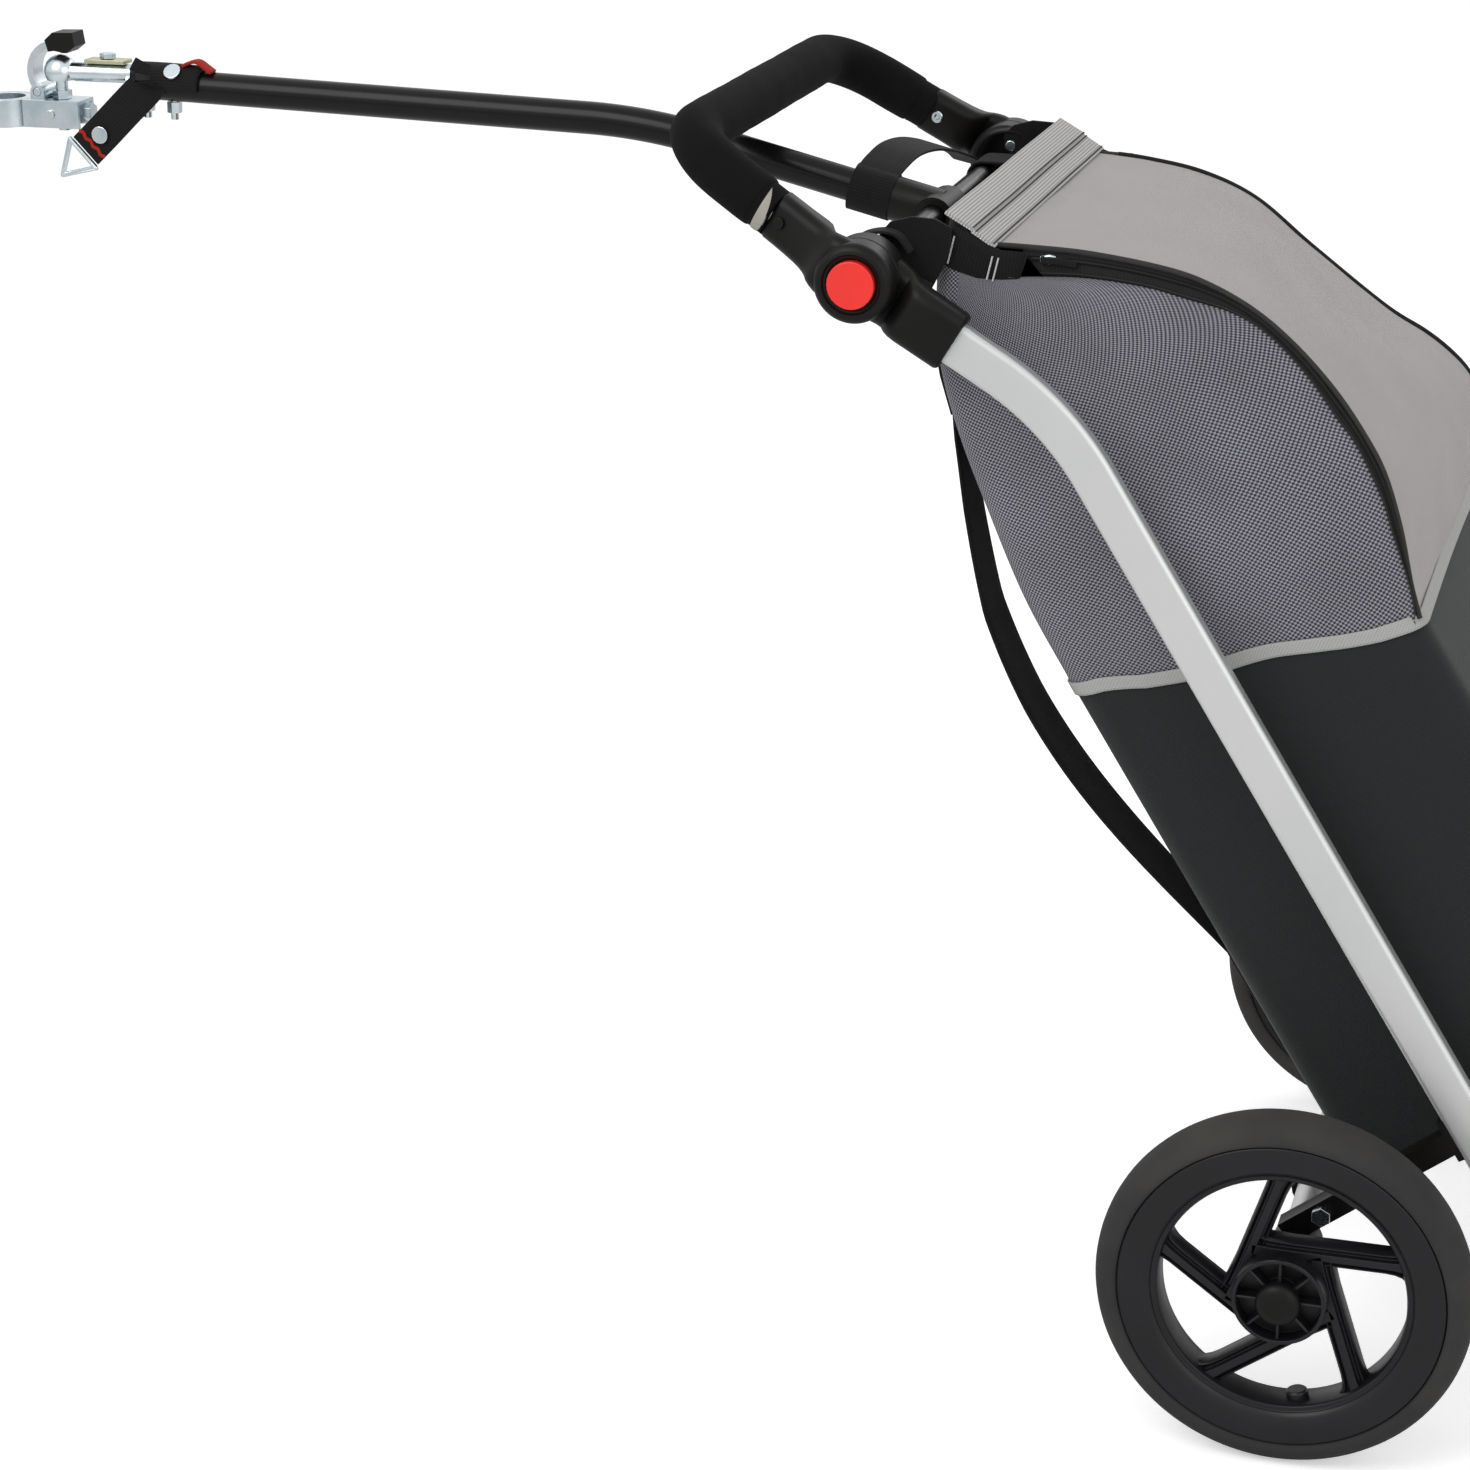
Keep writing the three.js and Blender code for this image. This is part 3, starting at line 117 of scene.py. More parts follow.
@dataclass(frozen=True)
class SideFrame:
    """The leaning frame of the side tubes, and the way from it to the row frame."""

    slope: float = math.radians(58.3)
    turn: float = math.radians(26.9)
    axle_height: float = 125.0
    setback: float = 148.0
    bend_rise: float = 574.0
    hub_reach: float = 152.0

    @property
    def up(self) -> np.ndarray:
        """Unit direction along the side tubes."""
        return np.array([-math.cos(self.slope), 0.0, math.sin(self.slope)])

    @property
    def fore(self) -> np.ndarray:
        """Unit direction square to the side tubes, towards the front of the bag."""
        return np.array([math.sin(self.slope), 0.0, math.cos(self.slope)])

    @property
    def base(self) -> np.ndarray:
        """The foot of the side tubes' centre line, level with the axle's bracket."""
        return np.array([0.0, 0.0, self.axle_height]) + self.fore * self.setback

    @staticmethod
    def _places(origin: np.ndarray, ways: tuple[np.ndarray, np.ndarray], *shares: np.ndarray) -> np.ndarray:
        """Places origin + a * first way + b * second way, moved to y, from shares a, b and y.

        Args:
            origin: the frame's origin.
            ways: its two directions.
            shares: distances along the first and the second way, and y.

        Returns:
            An array of places with one more axis of length 3.
        """
        a, b, y = np.broadcast_arrays(*(np.asarray(share, float) for share in shares))
        place = origin + a[..., None] * ways[0] + b[..., None] * ways[1]
        place[..., 1] = y
        return place

    def at(self, rise: np.ndarray, ahead: np.ndarray, y: np.ndarray) -> np.ndarray:
        """Places given in the side frame: base + rise * up + ahead * fore, moved to y.

        Args:
            rise: heights along the tubes.
            ahead: distances in front of the tubes.
            y: distances across the trailer.

        Returns:
            An array of places with one more axis of length 3.
        """
        return self._places(self.base, (self.up, self.fore), rise, ahead, y)

    @property
    def hub(self) -> np.ndarray:
        """The centre of the handle hubs at y = 0."""
        return self.at(self.bend_rise + self.hub_reach * math.cos(self.turn),
                       -self.hub_reach * math.sin(self.turn), 0.0)

    @property
    def top_run(self) -> np.ndarray:
        """Unit direction of the handle, away from the hubs."""
        return self.up * math.cos(self.turn) - self.fore * math.sin(self.turn)

    @property
    def top_side(self) -> np.ndarray:
        """Unit direction square to the handle, on its upper side."""
        return self.fore * math.cos(self.turn) + self.up * math.sin(self.turn)

    def handle(self, run: np.ndarray, across: np.ndarray, y: np.ndarray) -> np.ndarray:
        """Places given along and square to the handle, from its hubs."""
        return self._places(self.hub, (self.top_run, self.top_side), run, across, y)


SIDE = SideFrame()


def row_origin() -> np.ndarray:
    """The ground under the axle in the row frame, in metres, read off the left tyre's box."""
    low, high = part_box("tyre_left")
    return np.array([(low.x + high.x) / 2, 0.0, low.z])


ORIGIN = row_origin()


def metres(place: np.ndarray) -> Vector:
    """A place in millimetres as a vector of the row frame, in metres."""
    return Vector((np.asarray(place, float) * MM + ORIGIN).tolist())


def linked(name: str, data: bpy.types.ID) -> bpy.types.Object:
    """A new object in the scene that shows the data.

    Args:
        name: the object's name.
        data: what it shows.

    Returns:
        The object.
    """
    item = bpy.data.objects.new(name, data)
    bpy.context.scene.collection.objects.link(item)
    return item


def welded(mesh: bpy.types.Mesh) -> bmesh.types.BMesh:
    """A mesh opened for work, with its doubled places merged.

    Args:
        mesh: the mesh, which is left as it is.

    Returns:
        The work.
    """
    work = bmesh.new()
    work.from_mesh(mesh)
    bmesh.ops.remove_doubles(work, verts=work.verts, dist=WELD)
    return work


def smoothed(mesh: bpy.types.Mesh, work: bmesh.types.BMesh, sharp: float) -> None:
    """Writes the work back into a mesh, smooth up to an edge angle in degrees.

    Args:
        mesh: the mesh that is written.
        work: the work, which is freed.
        sharp: the angle in degrees from which an edge stays sharp.
    """
    work.to_mesh(mesh)
    work.free()
    mesh.shade_smooth()
    mesh.set_sharp_from_angle(angle=math.radians(sharp))


@dataclass
class Surface:
    """A mesh in the making: places in millimetres, faces, and a cloth map in millimetres."""

    places: np.ndarray
    faces: list[list[int]]
    flat: np.ndarray

    @staticmethod
    def grid(places: np.ndarray, round_u: bool = False, round_v: bool = False,
             ends: bool = False) -> "Surface":
        """A surface of two parameters sampled on a grid of places.

        Args:
            places: array (rows, columns, 3).
            round_u: whether the last row joins the first.
            round_v: whether the last column joins the first.
            ends: whether the first and last rows are closed by one face each.

        Returns:
            The surface, with a flat map that follows the lengths along rows and columns.
        """
        rows, columns = places.shape[:2]
        i, j = np.meshgrid(np.arange(rows if round_u else rows - 1),
                           np.arange(columns if round_v else columns - 1), indexing="ij")
        below, beside = (i + 1) % rows, (j + 1) % columns
        faces = np.stack([i * columns + j, i * columns + beside,
                          below * columns + beside, below * columns + j], -1).reshape(-1, 4).tolist()
        if ends:
            faces.append(list(range(columns))[::-1])
            faces.append([(rows - 1) * columns + k for k in range(columns)])
        sizes = [np.linalg.norm(np.diff(places, axis=k), axis=2).mean(1 - k) for k in (0, 1)]
        u, v = (np.concatenate([[0.0], np.cumsum(size)]) for size in sizes)
        flat = np.stack(np.meshgrid(v, u), -1).reshape(-1, 2)
        return Surface(places.reshape(-1, 3).copy(), faces, flat)

    def __add__(self, other: "Surface") -> "Surface":
        """Both surfaces in one mesh.

        Args:
            other: the other surface.

        Returns:
            The joined surface.
        """
        shift = len(self.places)
        return Surface(np.vstack([self.places, other.places]),
                       self.faces + [[k + shift for k in face] for face in other.faces],
                       np.vstack([self.flat, other.flat]))

    def make(self, name: str, away: Optional[np.ndarray] = None) -> bpy.types.Object:
        """Fills a mesh with the surface and links its object.

        Args:
            name: the piece's name.
            away: for an open surface, the place that its faces look away from.

        Returns:
            The new object, at the origin.
        """
        mesh = bpy.data.meshes.new(name)
        mesh.from_pydata((self.places * MM + ORIGIN).tolist(), [], self.faces)
        layer = mesh.uv_layers.new(name=CLOTH_MAP)
        index = np.zeros(len(mesh.loops), np.int32)
        mesh.loops.foreach_get("vertex_index", index)
        layer.data.foreach_set("uv", (self.flat[index] * MM).astype(np.float32).ravel())
        work = welded(mesh)
        bmesh.ops.recalc_face_normals(work, faces=work.faces)
        if away is not None:
            heart = metres(away)
            lean = sum((f.calc_center_median() - heart).dot(f.normal) * f.calc_area() for f in work.faces)
            if lean < 0:
                bmesh.ops.reverse_faces(work, faces=work.faces)
        smoothed(mesh, work, NEW_SHARP)
        mesh.update()
        return linked(name, mesh)


def unit(vectors: np.ndarray) -> np.ndarray:
    """The vectors at length 1."""
    return vectors / np.maximum(np.linalg.norm(vectors, axis=-1, keepdims=True), TINY * MM)


def sweep(path: np.ndarray, profile: np.ndarray, across: np.ndarray = ACROSS,
          closed: bool = False) -> Surface:
    """A closed profile carried along a path: place = path + p0 * across + p1 * (run x across).

    Args:
        path: array (n, 3) of places.
        profile: array (m, 2), or (n, m, 2) where the profile changes along the path.
        across: the direction of the profile's first axis, one or one per place.
        closed: whether the path comes back to its start.

    Returns:
        A closed surface.
    """
    if closed:
        run = unit(np.roll(path, -1, 0) - np.roll(path, 1, 0))
    else:
        run = unit(np.gradient(path, axis=0))
    wide = np.broadcast_to(np.asarray(across, float), path.shape)
    wide = unit(wide - (wide * run).sum(1, keepdims=True) * run)
    other = np.cross(run, wide)
    shape = np.broadcast_to(profile, (len(path),) + profile.shape[-2:])
    places = path[:, None] + shape[..., :1] * wide[:, None] + shape[..., 1:] * other[:, None]
    return Surface.grid(places, round_u=closed, round_v=True, ends=not closed)


def turned(profile: Pairs, steps: int, centre: np.ndarray = np.zeros(3), axis: np.ndarray = ACROSS) -> Surface:
    """A closed profile of (radius, height) pairs turned about an axis.

    Args:
        profile: pairs of radius and height along the axis, in order round the section.
        steps: how many copies of the profile go round.
        centre: a place on the axis, where the height is zero.
        axis: the axis direction.

    Returns:
        The surface, round both ways, or capped at the axis where a radius is zero.
    """
    pairs = np.asarray(profile, float)
    first = unit(np.cross(axis, [1.0, 0.1, 0.2]))
    second = np.cross(axis, first)
    angle = np.linspace(0, 2 * np.pi, steps, endpoint=False)
    ring = np.cos(angle)[:, None] * first + np.sin(angle)[:, None] * second
    places = centre + pairs[None, :, :1] * ring[:, None] + pairs[None, :, 1:] * axis
    return Surface.grid(places, round_u=True, round_v=bool((pairs[:, 0] > TINY).all()))


def mirrored(half: Pairs) -> np.ndarray:
    """A profile whose second half is its first at opposite heights, in reverse."""
    half = np.asarray(half, float)
    return np.vstack([half, half[::-1] * [1, -1]])


def circle(radius: float, sides: int = 32) -> np.ndarray:
    """A round profile."""
    angle = np.linspace(0, 2 * np.pi, sides, endpoint=False)
    return radius * np.stack([np.cos(angle), np.sin(angle)], -1)


def rounded(wide: float, high: float, radius: float, steps: int = 4) -> np.ndarray:
    """A rectangle profile with round corners, counter-clockwise.

    Args:
        wide: its full width.
        high: its full height.
        radius: the corners' radius.
        steps: points on each corner.

    Returns:
        An array (4 * steps, 2).
    """
    radius = min(radius, wide / 2 - 0.01, high / 2 - 0.01)
    angle = np.linspace(0, np.pi / 2, steps)
    corners = []
    for turn, sx, sy in ((0, 1, 1), (1, -1, 1), (2, -1, -1), (3, 1, -1)):
        theta = angle + turn * np.pi / 2
        corners.append(np.stack([sx * (wide / 2 - radius) + radius * np.cos(theta),
                                 sy * (high / 2 - radius) + radius * np.sin(theta)], -1))
    return np.vstack(corners)


def rounded_route(corners: Sequence[np.ndarray], radius: float, spacing: float) -> np.ndarray:
    """A route of straight runs with round bends, sampled evenly enough for a smooth tube.

    Args:
        corners: the corner places, with the two ends.
        radius: the bend radius.
        spacing: the distance between samples on the bends.

    Returns:
        An array of places.
    """
    places = [np.asarray(corners[0], float)]
    for before, here, after in zip(corners[:-2], corners[1:-1], corners[2:]):
        into, out = unit(here - before), unit(after - here)
        turn = math.acos(float(np.clip(into @ out, -1, 1)))
        side = unit(out - into * math.cos(turn))
        start = here - into * radius * math.tan(turn / 2)
        steps = max(4, int(radius * turn / spacing))
        angle = turn * np.arange(steps + 1)[:, None] / steps
        places.extend(start + into * radius * np.sin(angle) + side * radius * (1 - np.cos(angle)))
    places.append(np.asarray(corners[-1], float))
    return np.array(places)


def travelled(path: np.ndarray) -> np.ndarray:
    """The length of a path up to each of its places."""
    return np.concatenate([[0], np.cumsum(np.linalg.norm(np.diff(path, axis=0), axis=1))])


def resampled(path: np.ndarray, count: int, endpoint: bool = True) -> np.ndarray:
    """A path with count samples at even lengths, its last place left out if endpoint is false.

    Args:
        path: array (n, dimensions).
        count: how many samples are wanted.
        endpoint: whether the last sample is the path's end.

    Returns:
        An array (count, dimensions).
    """
    length = travelled(path)
    wanted = np.linspace(0, length[-1], count, endpoint=endpoint)
    return np.stack([np.interp(wanted, length, path[:, k]) for k in range(path.shape[1])], -1)


def evenly(path: np.ndarray, spacing: float) -> np.ndarray:
    """A path sampled evenly, with about the wanted distance between samples."""
    return resampled(path, max(3, int(travelled(path)[-1] / spacing)))


def through(knots: Sequence[Sequence[float]], count: int) -> np.ndarray:
    """A smooth curve through knots: Catmull-Rom pieces joined and sampled evenly by length.

    Args:
        knots: the places the curve goes through.
        count: how many samples are wanted.

    Returns:
        An array (count, dimensions).
    """
    p = np.asarray(knots, float)
    p = np.vstack([2 * p[0] - p[1], p, 2 * p[-1] - p[-2]])
    t = np.linspace(0, 1, 12, endpoint=False)[:, None]
    parts = [0.5 * (2 * p[k + 1] + (p[k + 2] - p[k]) * t
                    + (2 * p[k] - 5 * p[k + 1] + 4 * p[k + 2] - p[k + 3]) * t ** 2
                    + (3 * p[k + 1] - p[k] - 3 * p[k + 2] + p[k + 3]) * t ** 3)
             for k in range(len(p) - 3)]
    return resampled(np.vstack(parts + [p[-2:-1]]), count)


@dataclass
class Graph:
    """A shader's node tree, with short ways to add nodes that are fed."""

    tree: bpy.types.NodeTree

    def feed(self, socket: bpy.types.NodeSocket, value: object) -> None:
        """Links an input to another node's socket, or sets it to a plain value.

        Args:
            socket: the input.
            value: a socket or a plain value.
        """
        if isinstance(value, bpy.types.NodeSocket):
            self.tree.links.new(value, socket)
        else:
            socket.default_value = value

    def node(self, kind: str, inputs: dict, operation: str = "") -> bpy.types.Node:
        """Adds a node.

        Args:
            kind: the node's type, without the words that all types begin with.
            inputs: sockets or plain values, by the input's name or number.
            operation: the node's operation, where it has one.

        Returns:
            The node.
        """
        node = self.tree.nodes.new("ShaderNode" + kind)
        if operation:
            node.operation = operation
        for label, value in inputs.items():
            self.feed(node.inputs[label], value)
        return node

    def maths(self, operation: str, *values: object) -> bpy.types.NodeSocket:
        """A Math node's value, fed by sockets or plain numbers."""
        return self.node("Math", dict(enumerate(values)), operation).outputs[0]

    def mixed(self, first: object, share: object, second: object, rest: object) -> bpy.types.NodeSocket:
        """The value first * share + second * rest."""
        return self.maths("ADD", self.maths("MULTIPLY", first, share), self.maths("MULTIPLY", second, rest))

    def wave(self, value: object, turn: object) -> bpy.types.NodeSocket:
        """The value |sin(value * turn)|, a row of round humps."""
        return self.maths("ABSOLUTE", self.maths("SINE", self.maths("MULTIPLY", value, turn)))

    def noise(self, vector: bpy.types.NodeSocket, scale: object, detail: float) -> bpy.types.NodeSocket:
        """A Noise texture's value on a vector."""
        return self.node("TexNoise", {"Vector": vector, "Scale": scale, "Detail": detail}).outputs[0]

    def mix(self, share: object, first: object, second: object, how: str = "MIX") -> bpy.types.NodeSocket:
        """A colour Mix node's colour, from a share and two colours.

        Args:
            share: the factor, a socket or a number.
            first: the first colour.
            second: the second colour.
            how: the blend type.

        Returns:
            The colour.
        """
        node = self.tree.nodes.new("ShaderNodeMix")
        node.data_type, node.blend_type = "RGBA", how
        for k, value in ((0, share), (6, first), (7, second)):
            self.feed(node.inputs[k], value)
        return node.outputs[2]

    def group(self, source: bpy.types.NodeTree, **values: object) -> dict[str, bpy.types.NodeSocket]:
        """Places a node group, fills its inputs by name and gives its outputs by name.

        Args:
            source: the group.
            values: sockets or plain values, by the input's name.

        Returns:
            The outputs by name.
        """
        node = self.tree.nodes.new("ShaderNodeGroup")
        node.node_tree = source
        for label, value in values.items():
            self.feed(node.inputs[label], value)
        return {socket.name: socket for socket in node.outputs}

    def cloth_map(self) -> bpy.types.NodeSocket:
        """The place on a piece's own flat map.

        Returns:
            The map's socket.
        """
        node = self.tree.nodes.new("ShaderNodeUVMap")
        node.uv_map = CLOTH_MAP
        return node.outputs[0]

    def shade(self, values: dict) -> None:
        """Feeds the Principled shader by its inputs' names."""
        for label, value in values.items():
            self.feed(self.tree.nodes["Principled BSDF"].inputs[label], value)

    def bump(self, height: bpy.types.NodeSocket, strength: float, distance: float) -> None:
        """Feeds a height to the shader's normal."""
        node = self.node("Bump", {"Strength": strength, "Distance": distance, "Height": height})
        self.shade({"Normal": node.outputs[0]})


class Effects:
    """The shader node groups that more than one finish uses, built once each."""

    DEEP = (0.01, 0.01, 0.01, 1.0)
    GREY = (0.2, 0.2, 0.2, 1.0)

    def __init__(self) -> None:
        """Builds every group."""
        self.weave = self._weave()
        self.ribs = self._ribs()
        self.grain = self._grain()
        self.soil = self._soil()

    @staticmethod
    def _open(name: str, outputs: Sequence[str], **inputs: object) -> tuple[Graph, dict, dict]:
        """Opens a node group with its sockets.

        Args:
            name: the group's name.
            outputs: the outputs' names, of which Color is a colour and any other a number.
            inputs: each input's default: nothing for a vector, a number, or a colour.

        Returns:
            The graph, the input sockets by name, and the output sockets by name.
        """
        tree = bpy.data.node_groups.new(name, "ShaderNodeTree")
        for label, default in inputs.items():
            kind = "Vector" if default is None else "Float" if isinstance(default, float) else "Color"
            socket = tree.interface.new_socket(name=label, in_out="INPUT", socket_type="NodeSocket" + kind)
            if default is not None:
                socket.default_value = default
        for label in outputs:
            kind = "Color" if label == "Color" else "Float"
            tree.interface.new_socket(name=label, in_out="OUTPUT", socket_type="NodeSocket" + kind)
        came, goes = tree.nodes.new("NodeGroupInput"), tree.nodes.new("NodeGroupOutput")
        return Graph(tree), {s.name: s for s in came.outputs}, {s.name: s for s in goes.inputs}

    def _weave(self) -> bpy.types.NodeTree:
        """Plain weave: warp and weft threads swap over a checker, each a half round in height.

        The height is over * |sin(pi x)| + (1 - over) * |sin(pi y)|, in threads, where over is the
        checker. The colour is the upper thread's, less its mottling. The mottling is a random darkening in
        soft patches, and on the side cloth it also stands for the shade of folds, as painted shade. The
        colour is darker where it is low, a painted shade in the hollows between the threads.

        Returns:
            The group.
        """
        graph, i, o = self._open("plain_weave", ("Color", "Height"), Vector=None, Threads=600.0,
                                 Warp=self.GREY, Weft=self.GREY, Place=None, Mottle=0.2)
        scaled = graph.node("VectorMath", {0: i["Vector"], "Scale": i["Threads"]}, "SCALE").outputs[0]
        over = graph.node("TexChecker", {"Vector": scaled, "Scale": 1.0}).outputs["Fac"]
        parts = graph.node("SeparateXYZ", {0: scaled}).outputs
        under = graph.maths("SUBTRACT", 1.0, over)
        height = graph.mixed(graph.wave(parts[0], math.pi), over, graph.wave(parts[1], math.pi), under)
        # mottling: a random darkening in soft patches; on the side cloth it is strong and also paints the shade of
        # its folds
        patch = graph.maths("MULTIPLY", i["Mottle"], graph.noise(i["Place"], 14.0, 5.0))
        dim = graph.maths("SUBTRACT", 1.0, patch)
        shade = graph.node("CombineColor", {0: dim, 1: dim, 2: dim}).outputs[0]
        coloured = graph.mix(1.0, graph.mix(over, i["Warp"], i["Weft"]), shade, "MULTIPLY")
        # painted shade: the low parts of the weave, between the threads, are mixed towards near black
        hollow_shade = graph.maths("MULTIPLY", graph.maths("SUBTRACT", 1.0, height), 0.35)
        graph.feed(o["Color"], graph.mix(hollow_shade, coloured, self.DEEP))
        graph.feed(o["Height"], height)
        return graph.tree

    def _ribs(self) -> bpy.types.NodeTree:
        """Webbing: round ribs across the strap with a finer twill slanting over them.

        The height is 0.65 |sin(t x)| + 0.35 |sin(t (x + y))|, with t as pi times the ribs per
        metre. The colour follows the height from the dark colour in the grooves to the light one on the
        crests, a painted shade in the grooves.

        Returns:
            The group.
        """
        graph, i, o = self._open("webbing_ribs", ("Color", "Height"), Vector=None, Ribs=500.0,
                                 Dark=self.DEEP, Light=self.GREY)
        parts = graph.node("SeparateXYZ", {0: i["Vector"]}).outputs
        turn = graph.maths("MULTIPLY", i["Ribs"], math.pi)
        twill = graph.wave(graph.maths("ADD", parts[0], parts[1]), turn)
        height = graph.mixed(graph.wave(parts[0], turn), 0.65, twill, 0.35)
        # painted shade: the dark colour in the grooves, the light colour on the rib crests
        graph.feed(o["Color"], graph.mix(height, i["Dark"], i["Light"]))
        graph.feed(o["Height"], height)
        return graph.tree

    def _grain(self) -> bpy.types.NodeTree:
        """Fine noise that roughens a surface, with a coarse noise that varies its gloss.

        Returns:
            The group.
        """
        graph, i, o = self._open("surface_grain", ("Roughness", "Height"), Vector=None, Scale=900.0,
                                 Rough=0.5, Spread=0.15)
        centred = graph.maths("SUBTRACT", graph.noise(i["Vector"], 22.0, 4.0), 0.5)
        graph.feed(o["Roughness"], graph.maths("ADD", i["Rough"], graph.maths("MULTIPLY", centred, i["Spread"])))
        graph.feed(o["Height"], graph.noise(i["Vector"], i["Scale"], 2.0))
        return graph.tree

    def _soil(self) -> bpy.types.NodeTree:
        """A second colour that settles on a first one in soft patches.

        Returns:
            The group.
        """
        graph, i, o = self._open("settled_dust", ("Color",), Vector=None, Base=self.DEEP,
                                 Dust=self.GREY, Amount=0.2, Scale=12.0)
        patch = graph.noise(i["Vector"], i["Scale"], 6.0)
        ramp = graph.node("MapRange", {"Value": patch, "From Min": 0.42, "From Max": 0.72}).outputs[0]
        share = graph.maths("MULTIPLY", ramp, i["Amount"])
        graph.feed(o["Color"], graph.mix(share, i["Base"], i["Dust"]))
        return graph.tree


EFFECTS = Effects()


@dataclass(frozen=True)
class Finish:
    """What every finish has: a name, a slot, and two colours in screen values."""

    name: str
    slot: str
    first: tuple[int, int, int]
    second: tuple[int, int, int]

    def start(self) -> tuple[bpy.types.Material, Graph, bpy.types.NodeSocket]:
        """Makes the empty material.

        Returns:
            The material, its graph and its socket of places on the object.
        """
        material = bpy.data.materials.new(self.name)
        material.use_nodes = True
        graph = Graph(material.node_tree)
        return material, graph, graph.node("TexCoord", {}).outputs["Object"]


@dataclass(frozen=True)
class ClothFinish(Finish):
    """Plain woven cloth of warp and weft threads, on a piece's own flat map."""

    thread: float = 0.0016
    mottle: float = 0.25
    rough: float = 0.85
    relief: float = 0.35
    sheen: float = 0.15

    def build(self) -> bpy.types.Material:
        """Builds the material.

        Returns:
            The material.
        """
        material, graph, place = self.start()
        weave = graph.group(EFFECTS.weave, Vector=graph.cloth_map(), Threads=1 / self.thread, Place=place,
                            Warp=paint(*self.first), Weft=paint(*self.second), Mottle=self.mottle)
        graph.shade({"Base Color": weave["Color"], "Roughness": self.rough, "Sheen Weight": self.sheen,
                     "Sheen Roughness": 0.5, "Specular IOR Level": 0.25})
        graph.bump(weave["Height"], self.relief, self.thread * 0.35)
        return material


@dataclass(frozen=True)
class WebbingFinish(Finish):
    """Ribbed strap webbing, dark between its light ribs as painted shade in the grooves, on a piece's own flat map.
    """

    rib: float = 0.0022
    rough: float = 0.75

    def build(self) -> bpy.types.Material:
        """Builds the material.

        Returns:
            The material.
        """
        material, graph, _ = self.start()
        ribs = graph.group(EFFECTS.ribs, Vector=graph.cloth_map(), Ribs=1 / self.rib,
                           Dark=paint(*self.first), Light=paint(*self.second))
        graph.shade({"Base Color": ribs["Color"], "Roughness": self.rough, "Sheen Weight": 0.04,
                     "Specular IOR Level": 0.12})
        graph.bump(ribs["Height"], 0.5, self.rib * 0.3)
        return material


@dataclass(frozen=True)
class HardFinish(Finish):
    """Moulded plastic, rubber, paint or metal: a base colour, grain, and a little dust."""

    dust_amount: float = 0.05
    dust_scale: float = 12.0
    rough: float = 0.5
    spread: float = 0.15
    metal: float = 0.0
    coat: float = 0.0
    grain: float = 900.0
    relief: float = 0.1
    depth: float = 0.0001
    specular: float = 0.5

    def build(self) -> bpy.types.Material:
        """Builds the material.

        Returns:
            The material.
        """
        material, graph, place = self.start()
        grain = graph.group(EFFECTS.grain, Vector=place, Scale=self.grain, Rough=self.rough, Spread=self.spread)
        soil = graph.group(EFFECTS.soil, Vector=place, Base=paint(*self.first), Dust=paint(*self.second),
                           Amount=self.dust_amount, Scale=self.dust_scale)
        graph.shade({"Base Color": soil["Color"], "Roughness": grain["Roughness"], "Metallic": self.metal,
                     "Coat Weight": self.coat, "Coat Roughness": 0.12, "Specular IOR Level": self.specular})
        graph.bump(grain["Height"], self.relief, self.depth)
        return material


